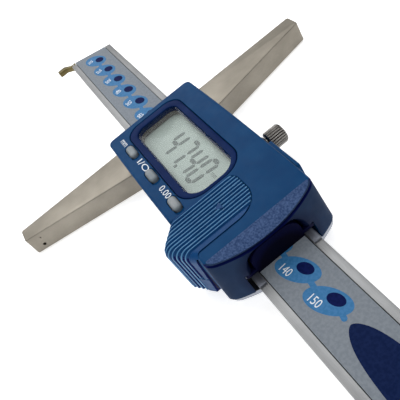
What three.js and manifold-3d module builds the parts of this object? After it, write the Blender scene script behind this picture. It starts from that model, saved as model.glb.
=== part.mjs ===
// Digital depth caliper: a steel rule that slides through a T-shaped base with a
// battery-powered display housing, drawn in millimetres.
// +X runs along the rule from its hooked tip to its free end, +Y towards the lock screw,
// +Z out of the display. The origin is the middle of the base bar's back face.

import * as THREE from "three";
import { mergeVertices } from "three/addons/utils/BufferGeometryUtils.js";
import Module from "manifold-3d";

const wasm = await Module();
wasm.setup();

// ---------------------------------------------------------------- driving dimensions

const CLEARANCE = 0.15; // between a cover or insert and the wall around it

// Base bar and the two rails behind it, one steel part
const BASE = { face: -6, length: 100, endDepth: 5.4, rootX: 6.2, rootY: 18, innerY: 14, thick: 6.3 };
const RAIL = { start: 5.6, end: 58.6, outer: 11.2, bottom: 3.5, top: 7.3 };
const LIP_TAB = {
  x0: 58.2, wide: 10, narrowX: 58.7, step: 62.4, x1: 66.7, inner: 6.25, outer: 8.9, side: 8, z0: 7.25, z1: 7.8,
};
const CHANNEL = { floor: 3.5, side: 8.1, gibSide: 8.9 };
const PLATE = { start: 7.6, bottom: 2.3, top: 3.5, side: 13.7, inset: 0.35 };
const GIB = { x0: 10, x1: 54, gap: 0.1, screwX: [16.5, 47], screwRadius: 1, slotHalf: 0.2, slotDepth: 0.6 };

// Rule with its inlaid scale
const BEAM = { tip: -71.7, end: 168.3, half: 8, bottom: 3.6, top: 7.2, tipSlant: 6.4 };
const INLAY = { half: 6.1, bottom: 6.3, circuitTop: 7.08, side: 6 };
const HOOK = {
  x0: -74.2, x1: -72, y0: -13.3, bendY: -10.3, tongueX0: -71.4, tongueX1: -69.6, tongueY: -6.2,
  z0: 5.3, z1: 7.15, pinX: -70.4, pinY: -7.2, pinRadius: 0.45,
};
const STOP = {
  x0: 163, x1: 168, half: 7.5, z0: 2.4, z1: 3.55, screwY: 4, head: 1.3, shank: 0.75, screwEnd: 5.8,
};

// Display housing. Its long sides bow: y at x, and the bow a length away from there.
const HOUSING = {
  front: 2.2, bottom: 3.6, top: 16.2, frontRadius: 1.6, nearRadius: 1.3, flare: 0.3,
  left: { y: -14.35, bow: 0.35, x: 20, length: 40 },
  right: { y: 13.95, bow: -0.4, x: 36, length: 32 },
};
const HOUSING_END = { topCorner: 60.6, topBulge: 63.55, bottomCorner: 61.6, bottomBulge: 65.2 };
const BEVEL = { start: 59.9, slope: 0.3 };
const LIP = { thick: 0.3, gap: 0.75, depth: 0.8 };
const CAVITY = { x0: 3.6, x1: 58.8, y0: -13.1, y1: 12.3, top: 15 };
const MOUTH = { side: 9, sideTop: 8.9, archSide: 6.4, archTop: 13.6, archRadius: 3.6 };
const LEDGE = { y0: -4.5, bottom: 14.1 };

// Display
const BEZEL = { x0: 4.6, x1: 43.4, y0: -9, y1: 7.75, radius: 4.2, nearRadius: 6, bottom: 13.4 };
const WINDOW = {
  x0: 7, x1: 42.4, y0: -7.1, y1: 6, radius: 3, nearRadius: 4.5, ledge: 0.4, lensBottom: 14.9, lensTop: 15.95,
};
const LCD = { x0: 5.9, x1: 43.9, y0: -9.2, y1: 8.2, bottom: 11.1, top: 13.35, margin: 1.6, step: 0.5 };
const LCD_CONNECTOR = { width: 1.2, inset: 0.1 };
const BOARD = { x0: 7, x1: 58, half: 11.2, bottom: 7.5, top: 8.5 };
const CHIP = { x0: 20, x1: 28, half: 4, height: 1 };
const CRYSTAL = { x0: 32, x1: 36, y0: 1, y1: 3, height: 0.9 };

// Buttons and the switches below them
const BUTTON = {
  y: -10.65, length: 5.2, width: 2.3, top: 16.6, hole: 0.15, scoop: 1.7, scoopDepth: 0.7,
  flangeTop: 14.8, flangeBottom: 14.1, flangeX: 0.6, flangeY: 0.3, stemBottom: 13.6, stemHalf: 0.8,
};
const BUTTONS = { units: 12.55, power: 25.9, zero: 39.55 };
const SWITCH = { half: 2.2, y0: -11.1, y1: -9.7, top: 12.4, pinY: -10.4, pinRadius: 0.6, pinTop: 13.15 };

// Battery and its sliding ribbed cover, which bulges past the housing round the cell
const CELL = { x: 50.4, y: -10.6, radius: 5.8, bottom: 9.3, top: 14.7 };
const CONTACT = { half: 1.5, y0: -11, foldY: -9.3, y1: -6.5, thick: 0.25, tabHalf: 2.5, tabDrop: 1.2 };
const COVER = {
  x0: 44, x1: 56.6, yEnd: 3.5, nearRadius: 6.2, farRadius: 2.5, sideY: -13.9, flareY: -12.3,
  top: 16.35, bottom: 2.4, wall: 1.1, edge: 0.6, sideGap: 0.12,
  recessTop: 57, recessBottom: 55.8,
  ribPitch: 0.99, firstGroove: 45.1, lastGroove: 55.5, grooveWidth: 0.45, grooveDepth: 0.35,
};
const BULGE = {
  near: { x: 57.6, y: -14.3, slope: 0.67 },
  far: { x: 44, y: -14.9, slope: -0.92 },
  radius: 2.6,
};
const FOOT = { gap: 0.2, y1: -12.7, top: 9 };
const CHEEK = { inset: 0.3, gap: 0.15, y1: -13 };

// Lock screw across the rail
const LOCK = {
  x: 31.8, z: 5.6, headRadius: 2.65, headStart: 16.8, headEnd: 21.65, teeth: 26, toothDepth: 0.25,
  stemRadius: 1.25, stemStart: 9.7, shoeRadius: 1.1, shoeStart: 8.3,
};
const BUSH = { inner: 1.5, outer: 2.3, y0: 14.05, y1: 16.45, chamfer: 0.3 };

// Data socket and its sliding cover
const PORT = {
  x0: 42.4, x1: 54.4, y0: 14.15, y1: 14.9, z0: 8.4, z1: 15.3, radius: 0.8,
  ribY: 13.35, ribZ0: 13.1, ribZ1: 13.7, ribInset: 1, travel: 8.4, gap: 0.2,
};
const SOCKET = {
  x0: 44.5, x1: 52.5, y0: 8.6, y1: 11.9, top: 11.4, slotInset: 0.8, slotY: 10, slotZ0: 9.7, slotZ1: 10.6,
};
const PORT_HOLE = { x0: 44, x1: 53, z0: 9.4, z1: 12.2 };

const FRAME_SCREWS = { x: [13, 52], y: [-9.75, 10.15], shank: 0.7, hole: 0.75, head: 1.3, end: 6.4 };
const HOUSING_SCREWS = {
  x: [10, 57], y: [-12.4, 12.4], shank: 0.6, hole: 0.65, head: 1.15, boss: 1.15, bossTop: 12.5, end: 8.8,
};
const WIPER_FRONT = { x0: 3.7, x1: 5.1, half: 8.2, top: 9.6 };
const WIPER_REAR = { x0: 62, x1: 63.3, gap: 0.2 };

const TURN = Math.PI * 2;
const ROUND = 24; // segments in a full circle
const SMALL_ROUND = 14; // segments in a screw or a pin

const HEAD_RIM = 0.2; // straight edge of a countersunk head
const HEAD_GAP = 0.05; // round a head in its countersink
const SLOT_HALF = 0.15;
const SLOT_DEPTH = 0.35;
const OVERLAP = 0.1; // how far solids that are joined reach into each other
const BEYOND = 40; // far enough past the part for a cutter to clear it

// ---------------------------------------------------------------- solids from geometry

function solidOf(geometry) {
  const bare = geometry.clone();
  bare.deleteAttribute("normal");
  bare.deleteAttribute("uv");
  const merged = mergeVertices(bare, 1e-4);
  const mesh = new wasm.Mesh({
    numProp: 3,
    vertProperties: new Float32Array(merged.attributes.position.array),
    triVerts: new Uint32Array(merged.index.array),
  });
  return new wasm.Manifold(mesh);
}

function geometryOf(solid) {
  const mesh = solid.getMesh();
  const geometry = new THREE.BufferGeometry();
  geometry.setAttribute("position", new THREE.BufferAttribute(new Float32Array(mesh.vertProperties), 3));
  geometry.setIndex(Array.from(mesh.triVerts));
  geometry.computeVertexNormals();
  return geometry;
}

function joined(solids) {
  return solids.reduce((sum, next) => sum.add(next));
}

function box(x0, x1, y0, y1, z0, z1) {
  const geometry = new THREE.BoxGeometry(x1 - x0, y1 - y0, z1 - z0);
  geometry.translate((x0 + x1) / 2, (y0 + y1) / 2, (z0 + z1) / 2);
  return solidOf(geometry);
}

function extruded(shape, depth) {
  return new THREE.ExtrudeGeometry(shape, { depth, bevelEnabled: false, curveSegments: ROUND / 4 });
}

// A shape drawn in X and Y, from z0 to z1
function prismZ(shape, z0, z1) {
  return solidOf(extruded(shape, z1 - z0).translate(0, 0, z0));
}

// A shape drawn in Y and Z, from x0 to x1
function prismX(shape, x0, x1) {
  const turn = new THREE.Matrix4().makeBasis(
    new THREE.Vector3(0, 1, 0),
    new THREE.Vector3(0, 0, 1),
    new THREE.Vector3(1, 0, 0),
  );
  return solidOf(extruded(shape, x1 - x0).applyMatrix4(turn).translate(x0, 0, 0));
}

// A shape drawn in X and Z, from y0 to y1
function prismY(shape, y0, y1) {
  return solidOf(extruded(shape, y1 - y0).rotateX(Math.PI / 2).translate(0, y1, 0));
}

function polygon(points) {
  return new THREE.Shape(points.map(([x, y]) => new THREE.Vector2(x, y)));
}

// A rectangle with rounded corners; those at x1 may have a radius of their own
function roundedRect(x0, x1, y0, y1, r, near = r) {
  const shape = new THREE.Shape();
  shape.moveTo(x0 + r, y0);
  shape.lineTo(x1 - near, y0);
  shape.absarc(x1 - near, y0 + near, near, -Math.PI / 2, 0);
  shape.lineTo(x1, y1 - near);
  shape.absarc(x1 - near, y1 - near, near, 0, Math.PI / 2);
  shape.lineTo(x0 + r, y1);
  shape.absarc(x0 + r, y1 - r, r, Math.PI / 2, Math.PI);
  shape.lineTo(x0, y0 + r);
  shape.absarc(x0 + r, y0 + r, r, Math.PI, Math.PI * 1.5);
  return shape;
}

function slotShape(x, y, length, width) {
  return roundedRect(x - length / 2, x + length / 2, y - width / 2, y + width / 2, width / 2 - 0.01);
}

// A turned piece: [radius, height] pairs from one end of the axis to the other
function turnedY(profile, x, z, segments = ROUND) {
  const points = profile.map(([r, h]) => new THREE.Vector2(r, h));
  return solidOf(new THREE.LatheGeometry(points, segments).translate(x, 0, z));
}

function turnedZ(profile, x, y, segments = ROUND) {
  const points = profile.map(([r, h]) => new THREE.Vector2(r, h));
  return solidOf(new THREE.LatheGeometry(points, segments).rotateX(Math.PI / 2).translate(x, y, 0));
}

function rod(r, z0, z1, x, y) {
  return turnedZ([[0, z0], [r, z0], [r, z1], [0, z1]], x, y, SMALL_ROUND);
}

function rodY(r, y0, y1, x, z) {
  return turnedY([[0, y0], [r, y0], [r, y1], [0, y1]], x, z, SMALL_ROUND);
}

// A closed body between two outlines with the same number of points
function loft(lower, z0, upper, z1) {
  const count = lower.length;
  const positions = [];
  lower.forEach((p) => positions.push(p.x, p.y, z0));
  upper.forEach((p) => positions.push(p.x, p.y, z1));
  const index = [];
  for (let i = 0; i < count; i += 1) {
    const next = (i + 1) % count;
    index.push(i, next, count + next, i, count + next, count + i);
  }
  THREE.ShapeUtils.triangulateShape(lower, []).forEach(([a, b, c]) => {
    index.push(a, c, b);
    index.push(count + a, count + b, count + c);
  });
  const geometry = new THREE.BufferGeometry();
  geometry.setAttribute("position", new THREE.Float32BufferAttribute(positions, 3));
  geometry.setIndex(index);
  return solidOf(geometry);
}

// ---------------------------------------------------------------- screws

// Countersunk screw pushed up from the back: flat head at z0, shank up to z1
function countersunk(x, y, headRadius, shankRadius, z0, z1) {
  const cone = headRadius - shankRadius;
  const profile = [
    [0, z0],
    [headRadius, z0],
    [headRadius, z0 + HEAD_RIM],
    [shankRadius, z0 + HEAD_RIM + cone],
    [shankRadius, z1],
    [0, z1],
  ];
  const slot = box(x - headRadius, x + headRadius, y - SLOT_HALF, y + SLOT_HALF, z0 - 1, z0 + SLOT_DEPTH);
  return turnedZ(profile, x, y, SMALL_ROUND).subtract(slot);
}

function countersink(x, y, headRadius, holeRadius, z0, z1) {
  const cone = headRadius - holeRadius;
  const mouth = headRadius + HEAD_GAP;
  const profile = [
    [0, z0 - 1],
    [mouth, z0 - 1],
    [mouth, z0 + HEAD_RIM + HEAD_GAP],
    [holeRadius, z0 + HEAD_RIM + HEAD_GAP + cone],
    [holeRadius, z1],
    [0, z1],
  ];
  return turnedZ(profile, x, y, SMALL_ROUND);
}

function everyScrew(pattern) {
  return pattern.x.flatMap((x) => pattern.y.map((y) => [x, y]));
}

// ---------------------------------------------------------------- base and rails

function baseOutline() {
  const half = BASE.length / 2;
  const end = BASE.face + BASE.endDepth;
  const slope = (BASE.rootX - end) / (half - BASE.rootY);
  const innerX = end + slope * (half - BASE.innerY);
  return polygon([
    [BASE.face, -half],
    [end, -half],
    [innerX, -BASE.innerY],
    [innerX, BASE.innerY],
    [end, half],
    [BASE.face, half],
  ]);
}

// Lip on the end of a rail, on the +Y side: it reaches over the rule's edge and out of the housing
function railLip() {
  const { x0, wide, narrowX, step, x1, inner, outer, side, z0, z1 } = LIP_TAB;
  return prismZ(polygon([
    [x0, inner],
    [x1, inner],
    [x1, side],
    [step, side],
    [step, outer],
    [narrowX, outer],
    [narrowX, wide],
    [x0, wide],
  ]), z0, z1);
}

function bothSides(solid) {
  return solid.add(solid.mirror([0, 1, 0]));
}

function sliderFrame() {
  const bar = prismZ(baseOutline(), 0, BASE.thick);
  const leftRail = box(RAIL.start, RAIL.end, -RAIL.outer, -CHANNEL.side, RAIL.bottom, RAIL.top);
  const rightRail = box(RAIL.start, RAIL.end, CHANNEL.gibSide, RAIL.outer, RAIL.bottom, RAIL.top);
  const acrossRail = (radius, x) => rodY(radius, CHANNEL.side, RAIL.outer + 1, x, LOCK.z);
  const cuts = [
    box(BASE.face - 1, RAIL.end + 1, -CHANNEL.side, CHANNEL.side, CHANNEL.floor, BEYOND),
    acrossRail(LOCK.stemRadius + GIB.gap, LOCK.x),
    ...GIB.screwX.map((x) => acrossRail(GIB.screwRadius + GIB.gap / 2, x)),
    ...everyScrew(FRAME_SCREWS).map(([x, y]) => rod(FRAME_SCREWS.hole, 0, FRAME_SCREWS.end + GIB.gap, x, y)),
  ];
  return joined([bar, leftRail, rightRail]).subtract(joined(cuts)).add(bothSides(railLip()));
}

function backPlate() {
  const corner = HOUSING_END.bottomCorner - PLATE.inset;
  const bulge = HOUSING_END.bottomBulge - PLATE.inset;
  const shape = new THREE.Shape([
    new THREE.Vector2(PLATE.start, PLATE.side),
    new THREE.Vector2(PLATE.start, -PLATE.side),
    ...roundedEnd(corner, bulge, -PLATE.side, PLATE.side),
  ]);
  const holesOf = (pattern) => everyScrew(pattern).map(([x, y]) =>
    countersink(x, y, pattern.head, pattern.hole, PLATE.bottom, PLATE.top + 1));
  const holes = [...holesOf(FRAME_SCREWS), ...holesOf(HOUSING_SCREWS)];
  return prismZ(shape, PLATE.bottom, PLATE.top).subtract(joined(holes));
}

function gibStrip() {
  const { x0, x1, gap } = GIB;
  const strip = box(x0, x1, CHANNEL.side, CHANNEL.gibSide - gap, BEAM.bottom + gap, BEAM.top - gap);
  const shoeHole = rodY(LOCK.shoeRadius + CLEARANCE, CHANNEL.side - 1, CHANNEL.gibSide + 1, LOCK.x, LOCK.z);
  return strip.subtract(shoeHole);
}

function gibScrew(x) {
  const end = RAIL.outer - GIB.gap;
  const screw = rodY(GIB.screwRadius, CHANNEL.gibSide, end, x, LOCK.z);
  const slot = box(x - GIB.slotHalf, x + GIB.slotHalf, end - GIB.slotDepth, end + 1, 0, BEYOND);
  return screw.subtract(slot);
}

// ---------------------------------------------------------------- rule

function slantedOutline(half, inset) {
  const slope = BEAM.tipSlant / (BEAM.half * 2);
  const tipAt = (y) => BEAM.tip + inset + slope * (y + BEAM.half);
  return polygon([
    [tipAt(-half), -half],
    [BEAM.end - inset, -half],
    [BEAM.end - inset, half],
    [tipAt(half), half],
  ]);
}

function stopScrewPlaces() {
  return [-STOP.screwY, STOP.screwY].map((y) => [(STOP.x0 + STOP.x1) / 2, y]);
}

function beam() {
  const bar = prismZ(slantedOutline(BEAM.half, 0), BEAM.bottom, BEAM.top);
  const inlay = box(BEAM.tip - 1, BEAM.end + 1, -INLAY.half, INLAY.half, INLAY.bottom, BEAM.top + 1);
  const seat = box(
    BEAM.tip - 1, HOOK.tongueX1 + OVERLAP,
    -BEAM.half - 1, HOOK.tongueY + OVERLAP / 2,
    HOOK.z0 - OVERLAP, HOOK.z1 + OVERLAP,
  );
  const holes = stopScrewPlaces().map(([x, y]) =>
    rod(STOP.shank + OVERLAP, BEAM.bottom - 1, STOP.screwEnd + OVERLAP, x, y));
  return bar.subtract(joined([inlay, seat, ...holes]));
}

// Hook that stands out past the rule's side, with a bent tongue let into the rule
function depthHook() {
  const neck = HOOK.tongueX1 - HOOK.x1;
  const arm = prismZ(polygon([
    [HOOK.x0, HOOK.y0],
    [HOOK.x1, HOOK.y0],
    [HOOK.x1, HOOK.bendY],
    [HOOK.tongueX1, HOOK.bendY + neck],
    [HOOK.tongueX1, HOOK.tongueY],
    [HOOK.tongueX0, HOOK.tongueY],
    [HOOK.tongueX0, HOOK.bendY + neck],
    [HOOK.x0, HOOK.bendY],
  ]), HOOK.z0, HOOK.z1);
  return arm.subtract(rod(HOOK.pinRadius + OVERLAP / 2, 0, BEYOND, HOOK.pinX, HOOK.pinY));
}

function hookPin() {
  return rod(HOOK.pinRadius, HOOK.z0, HOOK.z1, HOOK.pinX, HOOK.pinY);
}

function endStop() {
  const bar = box(STOP.x0, STOP.x1, -STOP.half, STOP.half, STOP.z0, STOP.z1);
  const holes = stopScrewPlaces().map(([x, y]) =>
    countersink(x, y, STOP.head, STOP.shank + HEAD_GAP, STOP.z0, STOP.z1 + 1));
  return bar.subtract(joined(holes));
}

// ---------------------------------------------------------------- housing

function sideAt(side, x) {
  return side.y + side.bow * ((x - side.x) / side.length) ** 2;
}

// Points of the bowed near end, from its -Y corner to its +Y corner
function nearArc(cornerX, bulgeX, y0, y1) {
  const half = (y1 - y0) / 2;
  const rise = bulgeX - cornerX;
  const radius = (half * half + rise * rise) / (2 * rise);
  const middle = (y0 + y1) / 2;
  const steps = 16;
  const points = [];
  for (let i = 0; i <= steps; i += 1) {
    const y = y0 + ((y1 - y0) * i) / steps;
    points.push(new THREE.Vector2(bulgeX - radius + Math.sqrt(radius ** 2 - (y - middle) ** 2), y));
  }
  return points;
}

// The same with its two corners rounded into the long sides
function roundedEnd(cornerX, bulgeX, y0, y1) {
  const arc = nearArc(cornerX, bulgeX, y0, y1);
  const last = arc.length - 1;
  const before = new THREE.Vector2(cornerX - HOUSING.nearRadius, y0);
  const after = new THREE.Vector2(cornerX - HOUSING.nearRadius, y1);
  const corner = (from, at, to) => new THREE.QuadraticBezierCurve(from, at, to).getPoints(4);
  return [
    ...corner(before, arc[0], arc[1]),
    ...arc.slice(2, last - 1),
    ...corner(arc[last - 1], arc[last], after),
  ];
}

function housingOutline(cornerX, bulgeX, flare) {
  const r = HOUSING.frontRadius;
  const startX = HOUSING.front + r;
  const leftAt = (x) => sideAt(HOUSING.left, x) - flare;
  const rightAt = (x) => sideAt(HOUSING.right, x) + flare;
  const steps = 10;
  const places = [];
  for (let i = 1; i < steps; i += 1) {
    places.push(startX + ((cornerX - HOUSING.nearRadius - startX) * i) / steps);
  }
  const corner = (y, from) => {
    const points = [];
    for (let i = 0; i <= 4; i += 1) {
      const a = from + (i / 4) * (TURN / 4);
      points.push(new THREE.Vector2(startX + r * Math.cos(a), y + r * Math.sin(a)));
    }
    return points;
  };
  return [
    ...corner(rightAt(startX) - r, TURN / 4),
    ...corner(leftAt(startX) + r, TURN / 2),
    ...places.map((x) => new THREE.Vector2(x, leftAt(x))),
    ...roundedEnd(cornerX, bulgeX, leftAt(cornerX), rightAt(cornerX)),
    ...places.reverse().map((x) => new THREE.Vector2(x, rightAt(x))),
  ];
}

// The bulge's wall lies on two flanks joined by an arc. A flank's place in Y at a place in X:
function flankY(flank, x, gap) {
  return flank.y + flank.slope * (x - flank.x) - gap * Math.hypot(1, flank.slope);
}

function noseArc(gap) {
  const { near, far, radius } = BULGE;
  const lead = flankY(far, 0, -radius) - flankY(near, 0, -radius);
  const x = lead / (near.slope - far.slope);
  return {
    x,
    y: flankY(near, x, -radius),
    radius: radius + gap,
    begins: Math.atan(far.slope) - Math.PI / 2,
    ends: Math.atan(near.slope) - Math.PI / 2,
  };
}

function bulgeY(x) {
  const arc = noseArc(0);
  if (x > arc.x + arc.radius * Math.cos(arc.ends)) {
    return flankY(BULGE.near, x, 0);
  }
  if (x < arc.x + arc.radius * Math.cos(arc.begins)) {
    return flankY(BULGE.far, x, 0);
  }
  return arc.y - Math.sqrt(arc.radius ** 2 - (x - arc.x) ** 2);
}

// Plan of the battery cover, grown by a gap
function coverPlan(gap) {
  const nearX = BULGE.near.x + gap;
  const farX = COVER.x0 - gap;
  const nearY = flankY(BULGE.near, nearX, gap);
  const sideY = Math.max(COVER.sideY + gap, nearY + 0.1);
  const flareY = Math.max(COVER.flareY + gap, sideY + 0.5);
  const x1 = COVER.x1 + gap;
  const y1 = COVER.yEnd + gap;
  const near = COVER.nearRadius + gap;
  const far = COVER.farRadius + gap;
  const arc = noseArc(gap);
  const shape = new THREE.Shape();
  shape.moveTo(farX, flankY(BULGE.far, farX, gap));
  shape.lineTo(arc.x + arc.radius * Math.cos(arc.begins), arc.y + arc.radius * Math.sin(arc.begins));
  shape.absarc(arc.x, arc.y, arc.radius, arc.begins, arc.ends);
  shape.lineTo(nearX, nearY);
  shape.lineTo(nearX, sideY);
  shape.quadraticCurveTo(x1, sideY, x1, flareY);
  shape.lineTo(x1, y1 - near);
  shape.absarc(x1 - near, y1 - near, near, 0, Math.PI / 2);
  shape.lineTo(farX + far, y1);
  shape.absarc(farX + far, y1 - far, far, Math.PI / 2, Math.PI);
  return shape;
}

function coverPoints(gap) {
  return coverPlan(gap).getPoints(ROUND / 4);
}

// The rule's way out at the near end: a slot over the rule, and an arch above it
function mouthShape(gap, z0) {
  const { side, sideTop, archSide, archTop, archRadius } = MOUTH;
  const r = archRadius - gap;
  const across = archSide - gap;
  const up = archTop - gap;
  const shape = new THREE.Shape();
  shape.moveTo(-side + gap, z0);
  shape.lineTo(side - gap, z0);
  shape.lineTo(side - gap, sideTop - gap);
  shape.lineTo(across, sideTop - gap);
  shape.absarc(across - r, up - r, r, 0, Math.PI / 2);
  shape.absarc(r - across, up - r, r, Math.PI / 2, Math.PI);
  shape.lineTo(-across, sideTop - gap);
  shape.lineTo(-side + gap, sideTop - gap);
  return shape;
}

// Everything above a plane that falls away towards +X from the far side of the bevel
function aboveBevel(drop, height) {
  const z = HOUSING.top - drop;
  const fall = BEVEL.slope * BEYOND;
  return prismY(polygon([
    [BEVEL.start, z],
    [BEVEL.start + BEYOND, z - fall],
    [BEVEL.start + BEYOND, z - fall + height],
    [BEVEL.start, z + height],
  ]), -BEYOND, BEYOND);
}

// Groove that runs round the near end below the bevel's lip
function lipGroove() {
  const corner = HOUSING_END.topCorner - LIP.depth;
  const bulge = HOUSING_END.topBulge - LIP.depth;
  const core = prismZ(new THREE.Shape(housingOutline(corner, bulge, 1)), 0, BEYOND);
  return aboveBevel(LIP.thick + LIP.gap, LIP.gap).subtract(core);
}

// Hole for a key, with a shallow scoop at its near end
function keyHole(x) {
  const { y, length, width, hole, scoop, scoopDepth } = BUTTON;
  const around = slotShape(x, y, length + hole * 2, width + hole * 2);
  const scooped = slotShape(x + scoop / 2, y, length + scoop, width);
  const above = HOUSING.top + 1;
  return prismZ(around, CAVITY.top - 1, above).add(prismZ(scooped, HOUSING.top - scoopDepth, above));
}

// Section of the recess that the battery cover's near flank leaves beside the housing's corner
function recessSection(gap) {
  const top = COVER.top - COVER.wall;
  return polygon([
    [COVER.recessTop + gap, top],
    [COVER.recessBottom + gap, COVER.bottom - 1],
    [BEYOND * 2, COVER.bottom - 1],
    [BEYOND * 2, top],
  ]);
}

// Dark cheek that fills the recess
function cheek() {
  const plan = prismZ(coverPlan(-CHEEK.inset), HOUSING.bottom, CAVITY.top);
  return plan.intersect(prismY(recessSection(CHEEK.gap), -BEYOND, CHEEK.y1));
}

function housing() {
  const lower = housingOutline(HOUSING_END.bottomCorner, HOUSING_END.bottomBulge, HOUSING.flare);
  const upper = housingOutline(HOUSING_END.topCorner, HOUSING_END.topBulge, 0);
  const shell = loft(lower, HOUSING.bottom, upper, HOUSING.top);
  const cavity = box(CAVITY.x0, CAVITY.x1, CAVITY.y0, CAVITY.y1, HOUSING.bottom - 1, CAVITY.top);
  const foot = prismZ(coverPlan(-COVER.wall - FOOT.gap), HOUSING.bottom, FOOT.top)
    .intersect(box(0, BEYOND * 2, -BEYOND, FOOT.y1, 0, BEYOND));
  const ledge = box(COVER.x0 - 0.5, COVER.x1 + 0.5, LEDGE.y0, COVER.yEnd + 1, LEDGE.bottom, CAVITY.top);
  const bosses = everyScrew(HOUSING_SCREWS).map(([x, y]) =>
    rod(HOUSING_SCREWS.boss, HOUSING.bottom, HOUSING_SCREWS.bossTop, x, y));
  const body = joined([shell.subtract(cavity), foot, cheek(), ledge, ...bosses]);

  const window = roundedRect(
    BEZEL.x0 - CLEARANCE, BEZEL.x1 + CLEARANCE,
    BEZEL.y0 - CLEARANCE, BEZEL.y1 + CLEARANCE,
    BEZEL.radius, BEZEL.nearRadius,
  );
  const pocketHalf = CELL.radius + CLEARANCE;
  const bushSeat = BUSH.outer + HEAD_GAP;
  const aboveCavity = CAVITY.top - 1;
  const aboveTop = HOUSING.top + 1;
  const cuts = [
    aboveBevel(0, BEYOND),
    lipGroove(),
    // room for the base bar under the far end
    box(0, BASE.rootX + 1.2, -20, 20, 0, BASE.thick + CLEARANCE),
    // the rule's way through both ends
    box(0, BEYOND * 2, -MOUTH.side, MOUTH.side, 0, BEAM.top + CLEARANCE),
    prismX(mouthShape(0, 0), CAVITY.x1 - 1, BEYOND * 2),
    prismZ(window, aboveCavity, aboveTop),
    // battery cover's seat and the cell's pocket
    prismZ(coverPlan(CLEARANCE), CAVITY.top - OVERLAP / 2, aboveTop),
    box(CELL.x - pocketHalf, CELL.x + pocketHalf, -BEYOND, LEDGE.y0 - OVERLAP, FOOT.top + OVERLAP, aboveTop),
    // lock screw, data socket and its cover's guide groove
    rodY(BUSH.inner, CAVITY.y1 - 1, BEYOND, LOCK.x, LOCK.z),
    turnedY([[0, BUSH.y0], [bushSeat, BUSH.y0], [bushSeat, BEYOND], [0, BEYOND]], LOCK.x, LOCK.z),
    box(PORT_HOLE.x0, PORT_HOLE.x1, CAVITY.y1 - 1, BEYOND, PORT_HOLE.z0, PORT_HOLE.z1),
    box(
      PORT.x0 - PORT.travel, PORT.x1 + PORT.gap,
      PORT.ribY - PORT.gap, BEYOND,
      PORT.ribZ0 - OVERLAP, PORT.ribZ1 + OVERLAP,
    ),
    ...Object.values(BUTTONS).map(keyHole),
    ...everyScrew(HOUSING_SCREWS).map(([x, y]) =>
      rod(HOUSING_SCREWS.hole, 0, HOUSING_SCREWS.end + CLEARANCE, x, y)),
  ];
  return body.subtract(joined(cuts));
}

// Groove between two ribs: over the top of the cover and down the bulge's wall
function ribGroove(x) {
  const wallY = bulgeY(x);
  const top = COVER.top - COVER.grooveDepth;
  const inY = wallY + COVER.grooveDepth * Math.hypot(1, BULGE.near.slope);
  const path = polygon([
    [COVER.yEnd + 1, top],
    [wallY + COVER.edge * 2, top],
    [inY, COVER.top - COVER.edge * 2],
    [inY, COVER.bottom - 1],
    [wallY - 2, COVER.bottom - 1],
    [wallY - 2, COVER.top + 1],
    [COVER.yEnd + 1, COVER.top + 1],
  ]);
  return prismX(path, x - COVER.grooveWidth / 2, x + COVER.grooveWidth / 2);
}

function batteryCover() {
  const { top, edge, wall, bottom } = COVER;
  const skirt = prismZ(coverPlan(0), bottom, top - edge);
  const shoulder = loft(coverPoints(0), top - edge, coverPoints(-edge * 0.3), top - edge * 0.3);
  const crown = loft(coverPoints(-edge * 0.3), top - edge * 0.3, coverPoints(-edge), top);
  const hollow = prismZ(coverPlan(-wall), bottom - 1, top - wall);
  const flare = HOUSING.flare + COVER.sideGap;
  const beside = housingOutline(HOUSING_END.bottomCorner, HOUSING_END.bottomBulge, flare);
  const insideHousing = prismZ(new THREE.Shape(beside), bottom - 1, top - wall);
  const recess = prismY(recessSection(0), -BEYOND, COVER.sideY);
  const grooves = [];
  for (let x = COVER.firstGroove; x < COVER.lastGroove; x += COVER.ribPitch) {
    grooves.push(ribGroove(x));
  }
  return joined([skirt, shoulder, crown]).subtract(joined([hollow, insideHousing, recess, ...grooves]));
}

// ---------------------------------------------------------------- display and electronics

function windowPlan(inset) {
  const { x0, x1, y0, y1, radius, nearRadius } = WINDOW;
  return roundedRect(x0 + inset, x1 - inset, y0 + inset, y1 - inset, radius - inset, nearRadius - inset);
}

function displayBezel() {
  const plan = roundedRect(BEZEL.x0, BEZEL.x1, BEZEL.y0, BEZEL.y1, BEZEL.radius, BEZEL.nearRadius);
  const ring = prismZ(plan, BEZEL.bottom, HOUSING.top);
  const seat = prismZ(windowPlan(0), WINDOW.lensBottom, HOUSING.top + 1);
  const opening = prismZ(windowPlan(WINDOW.ledge), BEZEL.bottom - 1, WINDOW.lensBottom + OVERLAP);
  return ring.subtract(seat.add(opening));
}

function displayLens() {
  return prismZ(windowPlan(HEAD_GAP), WINDOW.lensBottom + HEAD_GAP, WINDOW.lensTop);
}

function lcdPanel() {
  const { x0, x1, y0, y1, bottom, top, margin, step } = LCD;
  const rear = box(x0, x1, y0, y1, bottom, bottom + step * 2);
  return rear.add(box(x0, x1, y0 + margin, y1 - margin, bottom + step, top));
}

function lcdConnector(y) {
  const { width, inset } = LCD_CONNECTOR;
  return box(BUTTONS.units - 3, LCD.x1 - 3, y - width / 2, y + width / 2, BOARD.top, LCD.bottom - inset / 2);
}

function circuitBoard() {
  const seat = BOARD.top - OVERLAP;
  const board = box(BOARD.x0, BOARD.x1, -BOARD.half, BOARD.half, BOARD.bottom, BOARD.top);
  const chip = box(CHIP.x0, CHIP.x1, -CHIP.half, CHIP.half, seat, BOARD.top + CHIP.height);
  const crystal = box(CRYSTAL.x0, CRYSTAL.x1, CRYSTAL.y0, CRYSTAL.y1, seat, BOARD.top + CRYSTAL.height);
  return joined([board, chip, crystal]);
}

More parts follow.
